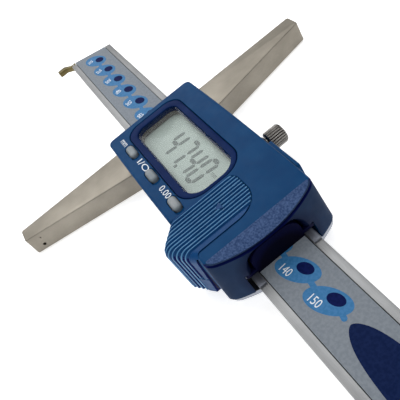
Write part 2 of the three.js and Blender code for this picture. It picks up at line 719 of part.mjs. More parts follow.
function buttonSwitch(x) {
  const body = box(x - SWITCH.half, x + SWITCH.half, SWITCH.y0, SWITCH.y1, BOARD.top, SWITCH.top);
  return body.add(rod(SWITCH.pinRadius, SWITCH.top - OVERLAP, SWITCH.pinTop, x, SWITCH.pinY));
}

function buttonCap(x) {
  const { y, length, width, flangeBottom, flangeX, flangeY, stemBottom, stemHalf } = BUTTON;
  const cap = prismZ(slotShape(x, y, length, width), flangeBottom, BUTTON.top);
  const flangePlan = slotShape(x, y, length + flangeX * 2, width + flangeY * 2);
  const flange = prismZ(flangePlan, flangeBottom, BUTTON.flangeTop);
  const stemTop = flangeBottom + OVERLAP;
  const stem = box(x - stemHalf, x + stemHalf, y - stemHalf, y + stemHalf, stemBottom, stemTop);
  return joined([cap, flange, stem]);
}

function batteryCell() {
  const { radius, bottom, top } = CELL;
  const profile = [
    [0, bottom],
    [radius - 0.9, bottom],
    [radius - 0.9, bottom + 0.5],
    [radius - 0.2, bottom + 0.5],
    [radius, bottom + 0.8],
    [radius, top - 0.3],
    [radius - 0.3, top],
    [0, top],
  ];
  return turnedZ(profile, CELL.x, CELL.y);
}

function minusContact() {
  const { half, y0, foldY, y1, thick } = CONTACT;
  const foot = box(CELL.x - half, CELL.x + half, foldY - OVERLAP, y1, BOARD.top, BOARD.top + thick);
  const leaf = box(CELL.x - half, CELL.x + half, y0, foldY, BOARD.top, CELL.bottom - OVERLAP);
  return foot.add(leaf);
}

function plusContact() {
  const { tabHalf, tabDrop, thick } = CONTACT;
  const edge = CELL.y + CELL.radius + OVERLAP;
  const tab = box(CELL.x - tabHalf, CELL.x + tabHalf, edge, edge + thick, BOARD.top, CELL.top - tabDrop);
  const foot = box(CELL.x - tabHalf, CELL.x + tabHalf, edge, edge + tabHalf, BOARD.top, BOARD.top + thick);
  return tab.add(foot);
}

function dataConnector() {
  const block = box(SOCKET.x0, SOCKET.x1, SOCKET.y0, SOCKET.y1, BOARD.top, SOCKET.top);
  const inset = SOCKET.slotInset;
  const slot = box(
    SOCKET.x0 + inset, SOCKET.x1 - inset,
    SOCKET.slotY, SOCKET.y1 + 1,
    SOCKET.slotZ0, SOCKET.slotZ1,
  );
  return block.subtract(slot);
}

// ---------------------------------------------------------------- lock screw and covers

function lockScrew() {
  const { x, z, stemRadius, stemStart, headRadius, headStart, headEnd, teeth, toothDepth } = LOCK;
  const stem = turnedY([
    [0, stemStart],
    [stemRadius - 0.2, stemStart],
    [stemRadius, stemStart + 0.25],
    [stemRadius, headStart + OVERLAP],
    [0, headStart + OVERLAP],
  ], x, z);
  const outline = [];
  for (let i = 0; i < teeth * 2; i += 1) {
    const r = headRadius - (i % 2 ? toothDepth : 0);
    const a = (i / (teeth * 2)) * TURN;
    outline.push([x + r * Math.cos(a), z + r * Math.sin(a)]);
  }
  const knurl = prismY(polygon(outline), headStart, headEnd);
  const chamfer = 0.7;
  const rim = 0.4;
  const envelope = turnedY([
    [0, headStart],
    [headRadius - rim, headStart],
    [headRadius, headStart + rim],
    [headRadius, headEnd - chamfer],
    [headRadius - chamfer, headEnd],
    [0, headEnd],
  ], x, z);
  return stem.add(knurl.intersect(envelope));
}

function lockBush() {
  const { inner, outer, y0, y1, chamfer } = BUSH;
  const profile = [
    [inner, y0],
    [outer, y0],
    [outer, y1 - chamfer],
    [outer - chamfer, y1],
    [inner, y1],
    [inner, y0],
  ];
  return turnedY(profile, LOCK.x, LOCK.z);
}

function lockShoe() {
  return rodY(LOCK.shoeRadius, LOCK.shoeStart, LOCK.stemStart - HEAD_GAP, LOCK.x, LOCK.z);
}

function dataPortCover() {
  const plate = prismY(roundedRect(PORT.x0, PORT.x1, PORT.z0, PORT.z1, PORT.radius), PORT.y0, PORT.y1);
  const inset = PORT.ribInset;
  const rib = box(PORT.x0 + inset, PORT.x1 - inset, PORT.ribY, PORT.y0 + OVERLAP, PORT.ribZ0, PORT.ribZ1);
  return plate.add(rib);
}

function frontWiper() {
  const { x0, x1, half, top } = WIPER_FRONT;
  return box(x0, x1, -half, half, BEAM.top + OVERLAP, top);
}

function rearWiper() {
  const { x0, x1, gap } = WIPER_REAR;
  const room = box(x0 - 1, x1 + 1, LIP_TAB.inner - gap, LIP_TAB.outer + 1, 0, LIP_TAB.z1 + OVERLAP);
  return prismX(mouthShape(gap, BEAM.top + OVERLAP), x0, x1).subtract(bothSides(room));
}

// ---------------------------------------------------------------- finishes

function finish(colour, roughness, metalness) {
  return () => new THREE.MeshStandardMaterial({ color: colour, roughness, metalness });
}

const satinSteel = finish(0xb3aea4, 0.38, 1);
const polishedSteel = finish(0xd2d2d0, 0.22, 1);
const darkSteel = finish(0x6d6250, 0.4, 1);
const nickel = finish(0x9a9896, 0.28, 1);
const brass = finish(0xb98f45, 0.35, 1);
const blueShell = finish(0x1f4a7e, 0.5, 0);
const navyGloss = finish(0x1e2a5c, 0.25, 0);
const blackPlastic = finish(0x101216, 0.6, 0);
const clearLens = finish(0xdfe6e2, 0.05, 0);
const displayGlass = finish(0xaab4ab, 0.3, 0);
const boardGreen = finish(0x1f5a38, 0.6, 0);
const greyRubber = finish(0x4a4a4c, 0.8, 0);
const buttonGrey = finish(0xb9bab4, 0.4, 0);
const labelGrey = finish(0x868f9f, 0.5, 0);

// ---------------------------------------------------------------- assembly

const caliper = new THREE.Group();

function add(name, solid, material) {
  const mesh = new THREE.Mesh(geometryOf(solid), material());
  mesh.name = name;
  caliper.add(mesh);
}

function addScrews(name, pattern) {
  everyScrew(pattern).forEach(([x, y], i) => {
    const screw = countersunk(x, y, pattern.head, pattern.shank, PLATE.bottom, pattern.end);
    add(`${name}_${i + 1}`, screw, nickel);
  });
}

add("slider_frame", sliderFrame(), satinSteel);
add("back_plate", backPlate(), satinSteel);
addScrews("frame_screw", FRAME_SCREWS);
addScrews("housing_screw", HOUSING_SCREWS);
add("gib_strip", gibStrip(), brass);
GIB.screwX.forEach((x, i) => add(`gib_screw_${i + 1}`, gibScrew(x), darkSteel));
add("lock_bush", lockBush(), blackPlastic);
add("lock_shoe", lockShoe(), brass);
add("lock_screw", lockScrew(), nickel);

const filmOutline = slantedOutline(INLAY.side, HEAD_GAP);
add("beam", beam(), polishedSteel);
add("scale_circuit", prismZ(filmOutline, INLAY.bottom, INLAY.circuitTop), boardGreen);
add("scale_label", prismZ(filmOutline, INLAY.circuitTop, BEAM.top), labelGrey);
add("depth_hook", depthHook(), darkSteel);
add("hook_pin", hookPin(), nickel);
add("end_stop", endStop(), satinSteel);
stopScrewPlaces().forEach(([x, y], i) => {
  add(`end_stop_screw_${i + 1}`, countersunk(x, y, STOP.head, STOP.shank, STOP.z0, STOP.screwEnd), nickel);
});

add("housing", housing(), blueShell);
add("display_bezel", displayBezel(), navyGloss);
add("display_lens", displayLens(), clearLens);
add("lcd_panel", lcdPanel(), displayGlass);
[LCD.y0 + LCD_CONNECTOR.width / 2, LCD.y1 - LCD_CONNECTOR.width / 2].forEach((y, i) => {
  add(`lcd_connector_${i + 1}`, lcdConnector(y), greyRubber);
});
add("circuit_board", circuitBoard(), boardGreen);
Object.entries(BUTTONS).forEach(([key, x]) => {
  add(`switch_${key}`, buttonSwitch(x), blackPlastic);
  add(`button_${key}`, buttonCap(x), buttonGrey);
});
add("battery_cell", batteryCell(), nickel);
add("battery_contact_minus", minusContact(), brass);
add("battery_contact_plus", plusContact(), brass);
add("battery_cover", batteryCover(), blueShell);
add("data_connector", dataConnector(), blackPlastic);
add("data_port_cover", dataPortCover(), blueShell);
add("wiper_front", frontWiper(), greyRubber);
add("wiper_rear", rearWiper(), blackPlastic);

export default caliper;
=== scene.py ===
"""Digital depth caliper: the looks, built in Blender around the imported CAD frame.

Lengths are in millimetres while a piece is made; place() turns them into metres.
+X runs along the rule, +Y towards the lock screw, +Z out of the display.
"""

import math

import bmesh
import bpy
from mathutils import Euler, Matrix, Vector


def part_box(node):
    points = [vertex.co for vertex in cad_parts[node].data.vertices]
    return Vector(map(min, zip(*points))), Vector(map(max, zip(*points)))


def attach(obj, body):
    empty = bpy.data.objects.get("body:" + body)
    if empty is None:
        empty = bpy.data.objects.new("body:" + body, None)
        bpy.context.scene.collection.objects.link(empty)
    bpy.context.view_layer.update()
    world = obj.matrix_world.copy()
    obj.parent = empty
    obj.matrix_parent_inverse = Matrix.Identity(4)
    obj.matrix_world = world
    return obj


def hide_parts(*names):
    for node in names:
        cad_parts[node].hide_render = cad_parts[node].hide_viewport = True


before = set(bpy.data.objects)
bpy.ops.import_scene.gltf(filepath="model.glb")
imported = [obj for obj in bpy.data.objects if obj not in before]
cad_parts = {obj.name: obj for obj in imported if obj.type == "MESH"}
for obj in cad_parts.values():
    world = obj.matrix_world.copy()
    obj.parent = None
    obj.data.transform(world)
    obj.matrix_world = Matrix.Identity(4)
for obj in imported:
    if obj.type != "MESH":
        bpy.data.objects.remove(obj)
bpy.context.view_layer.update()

MM = 0.001

# ---------------------------------------------------------------- camera and light

CAMERA_AT = (143.11, -10.83, 102.29)
CAMERA_TURN = (42.376, 27.123, 60.517)
LENS = 54.08
SHIFT = 0.00125


def add_camera():
    data = bpy.data.cameras.new("camera")
    data.lens = LENS
    data.sensor_width = 36
    data.shift_x, data.shift_y = -SHIFT, SHIFT
    data.clip_start = 0.005
    camera = bpy.data.objects.new("camera", data)
    bpy.context.scene.collection.objects.link(camera)
    camera.location = Vector(CAMERA_AT) * MM
    camera.rotation_euler = Euler([math.radians(a) for a in CAMERA_TURN])
    bpy.context.scene.camera = camera


def add_softbox(name, at, size, power, target=(0.03, 0, 0)):
    data = bpy.data.lights.new(name, "AREA")
    data.shape = "RECTANGLE"
    data.size, data.size_y = size
    data.energy = power
    light = bpy.data.objects.new(name, data)
    bpy.context.scene.collection.objects.link(light)
    light.location = at
    light.rotation_euler = (Vector(target) - Vector(at)).to_track_quat("-Z", "Y").to_euler()


def add_world(strength):
    world = bpy.data.worlds.new("studio")
    bpy.context.scene.world = world
    world.use_nodes = True
    background = world.node_tree.nodes["Background"]
    background.inputs["Color"].default_value = (1, 1, 1, 1)
    background.inputs["Strength"].default_value = strength


# ---------------------------------------------------------------- materials


class Nodes:
    """A material under construction, with short calls for its texture nodes."""

    def __init__(self, name):
        self.material = bpy.data.materials.new(name)
        self.material.use_nodes = True
        self.tree = self.material.node_tree
        self.shader = self.tree.nodes["Principled BSDF"]
        self.place = self.add("ShaderNodeTexCoord").outputs["Object"]

    def add(self, kind, **settings):
        node = self.tree.nodes.new(kind)
        for key, value in settings.items():
            setattr(node, key, value)
        return node

    def link(self, source, target):
        self.tree.links.new(source, target)

    def noise(self, scale, detail=3.0, stretch=(1, 1, 1)):
        """Noise with about scale bumps in a metre, drawn out along an axis by stretch."""
        mapping = self.add("ShaderNodeMapping")
        mapping.inputs["Scale"].default_value = stretch
        self.link(self.place, mapping.inputs["Vector"])
        noise = self.add("ShaderNodeTexNoise")
        noise.inputs["Scale"].default_value = scale
        noise.inputs["Detail"].default_value = detail
        self.link(mapping.outputs["Vector"], noise.inputs["Vector"])
        return noise.outputs["Fac"]

    def ramp(self, source, stops):
        """A colour ramp over source: (place, colour) pairs."""
        node = self.add("ShaderNodeValToRGB")
        elements = node.color_ramp.elements
        while len(elements) < len(stops):
            elements.new(0.5)
        for element, (at, colour) in zip(elements, stops):
            element.position = at
            element.color = (*colour, 1)
        self.link(source, node.inputs["Fac"])
        return node.outputs["Color"]

    def spread(self, source, low, high):
        """source, from 0.3 to 0.7, turned into a number from low to high."""
        node = self.add("ShaderNodeMapRange")
        node.inputs["From Min"].default_value = 0.3
        node.inputs["From Max"].default_value = 0.7
        node.inputs["To Min"].default_value = low
        node.inputs["To Max"].default_value = high
        self.link(source, node.inputs["Value"])
        return node.outputs["Result"]

    def math(self, operation, one, two):
        node = self.add("ShaderNodeMath", operation=operation)
        for socket, value in zip(node.inputs, (one, two)):
            if isinstance(value, (int, float)):
                socket.default_value = value
            else:
                self.link(value, socket)
        return node.outputs["Value"]

    def round_about(self, centre, half):
        """How far a place lies from centre in Y and Z, as a share of the half widths."""
        parts = self.add("ShaderNodeSeparateXYZ")
        self.link(self.place, parts.inputs["Vector"])
        squares = []
        for axis, middle, reach in zip("YZ", centre, half):
            away = self.math("SUBTRACT", parts.outputs[axis], middle * MM)
            share = self.math("DIVIDE", away, reach * MM)
            squares.append(self.math("MULTIPLY", share, share))
        return self.math("SQRT", self.math("ADD", *squares), 0)

    def colour(self, source):
        self.link(source, self.shader.inputs["Base Color"])

    def roughness(self, source):
        self.link(source, self.shader.inputs["Roughness"])

    def bump(self, source, depth, strength=1.0):
        node = self.add("ShaderNodeBump")
        node.inputs["Distance"].default_value = depth * MM
        node.inputs["Strength"].default_value = strength
        self.link(source, node.inputs["Height"])
        self.link(node.outputs["Normal"], self.shader.inputs["Normal"])

    def set(self, **values):
        for key, value in values.items():
            self.shader.inputs[key.replace("_", " ").title()].default_value = value
        return self


def moulded(name, dark, light, rough=(0.4, 0.52), grain=4500, depth=0.012, shine=0.3, mottle=160):
    """Moulded plastic: fine spark-eroded grain, and a mottle between two shades."""
    m = Nodes(name)
    m.shader.inputs["Specular IOR Level"].default_value = shine
    m.colour(m.ramp(m.noise(mottle, 4), [(0.35, dark), (0.65, light)]))
    m.roughness(m.spread(m.noise(700, 4), *rough))
    m.bump(m.noise(grain, 3), depth)
    return m.material


def steel(name, dark, light, rough, along, depth=0.004, patches=90):
    """Ground steel: fine lines along one axis, and slow warm and cool patches."""
    m = Nodes(name)
    stretch = {"x": (0.03, 1, 1), "y": (1, 0.03, 1), "round": (1, 1, 1)}[along]
    lines = m.noise(6500, 3, stretch)
    drift = m.noise(patches, 4)
    mix = m.add("ShaderNodeMix", data_type="FLOAT")
    mix.inputs["Factor"].default_value = 0.35
    m.link(drift, mix.inputs["A"])
    m.link(lines, mix.inputs["B"])
    m.colour(m.ramp(mix.outputs["Result"], [(0.36, dark), (0.64, light)]))
    m.roughness(m.spread(lines, *rough))
    m.bump(lines, depth)
    m.set(metallic=1.0)
    return m.material


def end_wall(name, dark, light, shadow, radii, soft):
    """Grainy slate at the housing's near end, with a painted shadow that darkens it round the rule's way out."""
    m = Nodes(name)
    m.shader.inputs["Specular IOR Level"].default_value = 0.08
    grain = m.noise(900, 4)
    about = m.math("ADD", m.round_about((0, 7.2), radii), m.math("MULTIPLY", grain, 0.06))
    slate = m.ramp(m.noise(160, 4), [(0.35, dark), (0.65, light)])
    # Painted shadow: inside an ellipse round the rule's way out, the slate fades to the shadow colour.
    mix = m.add("ShaderNodeMix", data_type="RGBA")
    m.link(m.ramp(m.math("MULTIPLY", about, 0.5), [(0.5, (0, 0, 0)), (soft, (1, 1, 1))]), mix.inputs["Factor"])
    mix.inputs["A"].default_value = (*shadow, 1)
    m.link(slate, mix.inputs["B"])
    m.colour(mix.outputs["Result"])
    m.roughness(m.spread(grain, 0.5, 0.65))
    m.bump(m.noise(4500, 3), 0.012)
    return m.material


def printed(name, dark, light, rough=(0.42, 0.55), shine=0.12):
    """Printing ink: a thin even coat with a slight mottle."""
    m = Nodes(name)
    m.shader.inputs["Specular IOR Level"].default_value = shine
    m.colour(m.ramp(m.noise(1400, 3), [(0.4, dark), (0.6, light)]))
    m.roughness(m.spread(m.noise(2500, 2), *rough))
    m.bump(m.noise(6000, 2), 0.002)
    return m.material


GLOSS_SHARE = 0.025


def lens_clear(name):
    """Clear acrylic that lamps shine through: a faint gloss over a see-through sheet."""
    m = Nodes(name)
    m.tree.nodes.remove(m.shader)
    output = m.tree.nodes["Material Output"]
    clear = m.add("ShaderNodeBsdfTransparent")
    clear.inputs["Color"].default_value = (0.95, 0.975, 0.96, 1)
    gloss = m.add("ShaderNodeBsdfGlossy")
    m.link(m.spread(m.noise(900, 2), 0.03, 0.07), gloss.inputs["Roughness"])
    mix = m.add("ShaderNodeMixShader")
    mix.inputs["Fac"].default_value = GLOSS_SHARE
    m.link(clear.outputs["BSDF"], mix.inputs[1])
    m.link(gloss.outputs["BSDF"], mix.inputs[2])
    m.link(mix.outputs["Shader"], output.inputs["Surface"])
    return m.material


def floor_white(name):
    """Pale studio paper that glows a little, as a light table does."""
    m = Nodes(name)
    m.colour(m.ramp(m.noise(30, 2), [(0.3, (0.9, 0.9, 0.9)), (0.7, (0.92, 0.92, 0.92))]))
    m.set(roughness=0.9, emission_strength=0.62)
    m.shader.inputs["Emission Color"].default_value = (1, 1, 1, 1)
    m.shader.inputs["Specular IOR Level"].default_value = 0.1
    return m.material


BLUE = moulded("blue_plastic", (0.0015, 0.043, 0.138), (0.004, 0.054, 0.16), shine=0.06)
BLUE_COVER = moulded("blue_cover", (0.002, 0.046, 0.16), (0.005, 0.06, 0.195), rough=(0.32, 0.45), shine=0.12)
# Lighter grainy blue of the near bevel, used also as a painted highlight along the housing's rounded near corner on the
# -Y side.
BLUE_BEVEL_AND_HIGHLIGHT = moulded(
    "blue_grainy_and_highlight", (0.02, 0.05, 0.145), (0.062, 0.115, 0.26),
    rough=(0.5, 0.65), grain=3000, depth=0.03, shine=0.15, mottle=2300,
)
# Painted highlight: lighter, glossier blue on the crests of the cover's ribs.
BLUE_CREST_HIGHLIGHT = moulded("blue_crest_painted_highlight", (0.05, 0.2, 0.4), (0.08, 0.26, 0.48), rough=(0.3, 0.4), shine=0.4)
# Slate of the near end wall, darker than the top, with a painted shadow round the rule's way out.
BLUE_END_PAINTED_SHADOW = end_wall(
    "blue_end_painted_shadow", (0.010, 0.026, 0.068), (0.015, 0.036, 0.09), (0.0012, 0.0026, 0.027), radii=(7.4, 6.9), soft=0.76,
)
# Near-black of the rule's way out: black plastic on the rear wiper and painted shade on the faces in the battery
# cover's gap, with a painted shadow deepening towards the middle.
MOUTH_BLACK_AND_PAINTED_SHADE = end_wall(
    "mouth_black_and_painted_shade", (0.001, 0.0016, 0.022), (0.0017, 0.0026, 0.029), (0.0006, 0.0002, 0.008), radii=(5.2, 4.2), soft=0.66,
)
# Painted shade: near-black navy for the groove under the bevel's lip and the battery cover's cut near flank.
NAVY_PAINTED_SHADE = moulded("navy_painted_shade", (0.002, 0.006, 0.07), (0.003, 0.009, 0.09), rough=(0.5, 0.6), shine=0.03)
NAVY = moulded(
    "navy_plastic", (0.002, 0.014, 0.075), (0.005, 0.021, 0.095), rough=(0.36, 0.46), depth=0.003, shine=0.03,
)
WELL = moulded("display_well", (0.30, 0.31, 0.30), (0.36, 0.37, 0.36), rough=(0.5, 0.6), depth=0.004)
# Painted shade: brown-grey for the display well's far wall.
WELL_FAR_PAINTED_SHADE = moulded("display_well_far_painted_shade", (0.085, 0.075, 0.07), (0.12, 0.105, 0.1), rough=(0.5, 0.6), depth=0.004)
BLACK = moulded("black_plastic", (0.001, 0.001, 0.003), (0.002, 0.002, 0.005), rough=(0.5, 0.65), shine=0.06)
SILVER_KEY = moulded("key_silver", (0.17, 0.205, 0.23), (0.28, 0.3, 0.315), rough=(0.28, 0.4), depth=0.006)
LCD_GREY = moulded("lcd_film", (0.4, 0.435, 0.43), (0.435, 0.475, 0.47), rough=(0.3, 0.4), depth=0.002)
LCD_DARK = moulded("lcd_segment", (0.115, 0.13, 0.135), (0.14, 0.155, 0.16), rough=(0.35, 0.45), depth=0.002)
RUBBER = moulded("grey_rubber", (0.035, 0.035, 0.038), (0.05, 0.05, 0.053), rough=(0.7, 0.8), depth=0.02)
BOARD = moulded("solder_mask", (0.01, 0.07, 0.03), (0.015, 0.1, 0.045), rough=(0.35, 0.5), depth=0.01)
SATIN = steel("satin_steel", (0.225, 0.205, 0.172), (0.335, 0.308, 0.262), (0.48, 0.6), "y")
POLISHED = steel("polished_steel", (0.24, 0.245, 0.25), (0.345, 0.35, 0.355), (0.42, 0.54), "x", depth=0.002)
PLATE = steel("plate_steel", (0.28, 0.3, 0.345), (0.4, 0.42, 0.47), (0.34, 0.46), "x")
DARK_STEEL = steel("dark_steel", (0.10, 0.08, 0.03), (0.16, 0.13, 0.06), (0.35, 0.5), "round")
NICKEL = steel("nickel", (0.21, 0.2, 0.19), (0.38, 0.37, 0.35), (0.14, 0.26), "round", depth=0.003)
BRASS = steel("brass", (0.4, 0.26, 0.09), (0.55, 0.38, 0.15), (0.25, 0.38), "round")
FILM = printed("film_grey", (0.2, 0.228, 0.265), (0.235, 0.265, 0.3))
INK_BLUE = printed("ink_blue", (0.035, 0.17, 0.37), (0.05, 0.195, 0.42))
INK_DARK = printed("ink_dark", (0.002, 0.007, 0.06), (0.004, 0.01, 0.08), shine=0.03)
INK_NAVY = printed("ink_navy", (0.003, 0.011, 0.055), (0.006, 0.016, 0.07), shine=0.03)
RESIN = moulded("circuit_resin", (0.004, 0.005, 0.006), (0.008, 0.01, 0.01), rough=(0.5, 0.6), shine=0.05)
INK_WHITE = printed("ink_white", (0.78, 0.82, 0.86), (0.86, 0.9, 0.93))
LENS_CLEAR = lens_clear("clear_window")

# ---------------------------------------------------------------- mesh tools


def span(node):
    """A CAD node's lowest and highest corners, in millimetres."""
    low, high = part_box(node)
    return low / MM, high / MM


def make(name, points, faces):
    mesh = bpy.data.meshes.new(name)
    mesh.from_pydata([tuple(p) for p in points], [], faces)
    obj = bpy.data.objects.new(name, mesh)
    bpy.context.scene.collection.objects.link(obj)
    work = bmesh.new()
    work.from_mesh(mesh)
    bmesh.ops.remove_doubles(work, verts=work.verts, dist=1e-5)
    bmesh.ops.recalc_face_normals(work, faces=work.faces)
    work.to_mesh(mesh)
    work.free()
    return obj


def loft(name, rings, capped=True):
    """A body through rings of points of the same count. Uncapped, the last ring meets the first."""
    count = len(rings[0])
    points = [p for ring in rings for p in ring]
    faces = []
    spans = len(rings) - 1 if capped else len(rings)
    for r in range(spans):
        low, high = r * count, (r + 1) % len(rings) * count
        for i in range(count):
            after = (i + 1) % count
            faces.append((low + i, low + after, high + after, high + i))
    if capped:
        faces.append(tuple(reversed(range(count))))
        faces.append(tuple(range(len(points) - count, len(points))))
    return make(name, points, faces)


def arc(x, y, r, start, end, steps):
    """Points on a circle from start to end, in degrees."""
    angles = [math.radians(start + (end - start) * i / steps) for i in range(steps + 1)]
    return [(x + r * math.cos(a), y + r * math.sin(a)) for a in angles]


def rounded_rect(x0, x1, y0, y1, r, steps=8, near=None):
    """A rectangle with rounded corners; those at x1 may have a radius of their own."""
    n = r if near is None else near
    return (
        arc(x1 - n, y0 + n, n, -90, 0, steps)
        + arc(x1 - n, y1 - n, n, 0, 90, steps)
        + arc(x0 + r, y1 - r, r, 90, 180, steps)
        + arc(x0 + r, y0 + r, r, 180, 270, steps)
    )


def slot_outline(x, y, length, width):
    r = width / 2
    half = length / 2 - r
    return arc(x + half, y, r, -90, 90, 14) + arc(x - half, y, r, 90, 270, 14)


def rectangle(x0, x1, y0, y1):
    return [(x0, y0), (x1, y0), (x1, y1), (x0, y1)]


def shrunk(outline, inset):
    """The outline, drawn anticlockwise, moved inwards by inset."""
    moved = []
    count = len(outline)
    for i in range(count):
        before, here, after = (Vector(outline[(i + k) % count]) for k in (-1, 0, 1))
        one, two = (here - before), (after - here)
        if one.length < 1e-9 or two.length < 1e-9:
            one = two if one.length < 1e-9 else one
            two = one if two.length < 1e-9 else two
        one, two = one.normalized(), two.normalized()
        inward = Vector((-one.y - two.y, one.x + two.x)).normalized()
        reach = inset / max(0.3, inward.dot(Vector((-one.y, one.x))))
        moved.append(tuple(here + inward * reach))
    return moved


def lift(outline, z):
    return [(x, y, z) for x, y in outline]


def upright(outline, y):
    """An outline drawn in X and Z, stood at y."""
    return [(x, y, z) for x, z in outline]


def prism(name, outline, z0, z1):
    return loft(name, [lift(outline, z0), lift(outline, z1)])


def block(x0, x1, y0, y1, z0, z1):
    return prism("block", rectangle(x0, x1, y0, y1), z0, z1)


def soft_prism(name, outline, z0, z1, edge, steps=3, under=None):
    """A prism with its top edge rounded by edge, and its lower edge by under."""
    under = edge if under is None else under
    rings = []
    for i in range(steps + 1):
        a = math.pi / 2 * i / steps
        rings.append(lift(shrunk(outline, under * (1 - math.sin(a))), z0 + under * (1 - math.cos(a))))
    for i in range(steps + 1):
        a = math.pi / 2 * i / steps
        rings.append(lift(shrunk(outline, edge * (1 - math.cos(a))), z1 - edge + edge * math.sin(a)))
    return loft(name, rings)


def flared(outline, z0, z1, chamfer):
    """A cutter whose mouth at z1 is broken by a small chamfer."""
    wide = shrunk(outline, -2 * chamfer)
    return loft("cutter", [lift(outline, z0), lift(outline, z1 - chamfer), lift(wide, z1 + chamfer)])


def turned(name, profile, axis, at, segments=48):
    """A turned body: [radius, height] pairs from one end of its axis to the other."""
    rings = []
    for radius, height in profile:
        ring = []
        for i in range(segments):
            a = 2 * math.pi * i / segments
            u, v = radius * math.cos(a), radius * math.sin(a)
            ring.append((at[0] + u, height, at[1] - v) if axis == "y" else (at[0] + u, at[1] + v, height))
        rings.append(ring)
    return loft(name, rings, capped=profile[0] != profile[-1])


def settle(obj):
    """Applies the object's modifiers."""
    graph = bpy.context.evaluated_depsgraph_get()
    mesh = bpy.data.meshes.new_from_object(obj.evaluated_get(graph))
    obj.modifiers.clear()
    obj.data = mesh
    return obj


def combine(obj, others, operation):
    for other in others:
        step = obj.modifiers.new("step", "BOOLEAN")
        step.operation = operation
        step.solver = "EXACT"
        step.object = other
        settle(obj)
        bpy.data.objects.remove(other)
    return obj


def cut(obj, *cutters):
    return combine(obj, cutters, "DIFFERENCE")


def add(obj, *others):
    return combine(obj, others, "UNION")


def common(obj, *others):
    return combine(obj, others, "INTERSECT")


def bevel(obj, width, segments=2, angle=35):
    step = obj.modifiers.new("edges", "BEVEL")
    step.width = width
    step.segments = segments
    step.limit_method = "ANGLE"
    step.angle_limit = math.radians(angle)
    step.use_clamp_overlap = True
    return settle(obj)


def place(obj, name, body, material, replaces=(), sharp=32):
    """Finishes a piece: metres, smooth shading, material, and what it says to the frame."""
    obj.name = name
    obj.data.name = name
    obj.data.transform(Matrix.Scale(MM, 4))
    for polygon in obj.data.polygons:
        polygon.use_smooth = True
    obj.data.set_sharp_from_angle(angle=math.radians(sharp))
    if not obj.data.materials:
        obj.data.materials.append(material)
    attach(obj, body)
    if replaces:
        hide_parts(*replaces)
    return obj


def paint(node, material):
    """Gives a CAD node that stays its finished material."""
    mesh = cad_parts[node].data
    mesh.materials.clear()
    mesh.materials.append(material)


def lettering(text, height, at, turn=0.0, thick=0.02, squeeze=1.0):
    """Flat raised characters, centred at a point, from Blender's own font."""
    curve = bpy.data.curves.new("lettering", "FONT")
    curve.body = text
    curve.size = height / 0.7
    curve.align_x, curve.align_y = "CENTER", "CENTER"
    curve.extrude = thick / 2
    curve.resolution_u = 3
    shape = bpy.data.objects.new("lettering", curve)
    bpy.context.scene.collection.objects.link(shape)
    graph = bpy.context.evaluated_depsgraph_get()
    mesh = bpy.data.meshes.new_from_object(shape.evaluated_get(graph))
    bpy.data.objects.remove(shape)
    mesh.transform(
        Matrix.Translation((at[0], at[1], at[2] + thick / 2))
        @ Matrix.Rotation(math.radians(turn), 4, "Z")
        @ Matrix.Diagonal((squeeze, 1, 1, 1))
    )
    obj = bpy.data.objects.new("lettering", mesh)
    bpy.context.scene.collection.objects.link(obj)
    return obj


def merged(name, pieces):
    """One object from several, without cutting them."""
    work = bmesh.new()
    for piece in pieces:
        work.from_mesh(piece.data)
        bpy.data.objects.remove(piece)
    mesh = bpy.data.meshes.new(name)
    work.to_mesh(mesh)
    work.free()
    obj = bpy.data.objects.new(name, mesh)
    bpy.context.scene.collection.objects.link(obj)
    return obj


# ---------------------------------------------------------------- housing

SHELL_LO, SHELL_HI = span("housing")
COVER_LO, COVER_HI = span("battery_cover")
BEZEL_LO, BEZEL_HI = span("display_bezel")
LENS_LO, LENS_HI = span("display_lens")
LCD_LO, LCD_HI = span("lcd_panel")
BEAM_LO, BEAM_HI = span("beam")
FILM_LO, FILM_HI = span("scale_label")
BASE_LO, BASE_HI = span("slider_frame")
KNOB_LO, KNOB_HI = span("lock_screw")
PORT_LO, PORT_HI = span("data_port_cover")
HOOK_LO, HOOK_HI = span("depth_hook")

CLEARANCE = 0.15
FLARE = 0.3
LEFT = {"y": -14.35, "bow": 0.35, "x": 20, "length": 40}
RIGHT = {"y": 13.95, "bow": -0.4, "x": 36, "length": 32}
FRONT_RADIUS, NEAR_RADIUS = 1.6, 1.3
END_CORNER = (61.6, 60.6)
END_BULGE = (65.2, 63.55)
EDGE = 0.7
CAVITY_TOP = SHELL_HI.z - 1.2
BEVEL_START, BEVEL_SLOPE = 59.9, 0.3
LIP_THICK, LIP_GAP, LIP_DEPTH = 0.3, 0.75, 0.8
LOCK_X, LOCK_Z = (KNOB_LO.x + KNOB_HI.x) / 2, (KNOB_LO.z + KNOB_HI.z) / 2
KEYS = {"units": "button_units", "power": "button_power", "zero": "button_zero"}


def side_at(side, x):
    return side["y"] + side["bow"] * ((x - side["x"]) / side["length"]) ** 2


def near_arc(corner_x, bulge_x, y0, y1, steps=28):
    half = (y1 - y0) / 2
    rise = bulge_x - corner_x
    radius = (half * half + rise * rise) / (2 * rise)
    ys = [y0 + (y1 - y0) * i / steps for i in range(steps + 1)]
    return [(bulge_x - radius + math.sqrt(radius**2 - (y - (y0 + y1) / 2) ** 2), y) for y in ys]


def bent(start, corner, end, steps=6):
    """A quadratic curve round a corner."""
    points = []
    for i in range(steps + 1):
        t = i / steps
        points.append(tuple(
            (1 - t) ** 2 * a + 2 * t * (1 - t) * b + t * t * c for a, b, c in zip(start, corner, end)
        ))
    return points


def rounded_end(corner_x, bulge_x, y0, y1):
    """The bowed near end, its corners rounded into the long sides."""
    bow = near_arc(corner_x, bulge_x, y0, y1)
    before, after = (corner_x - NEAR_RADIUS, y0), (corner_x - NEAR_RADIUS, y1)
    return bent(before, bow[0], bow[2]) + bow[3:-3] + bent(bow[-3], bow[-1], after)


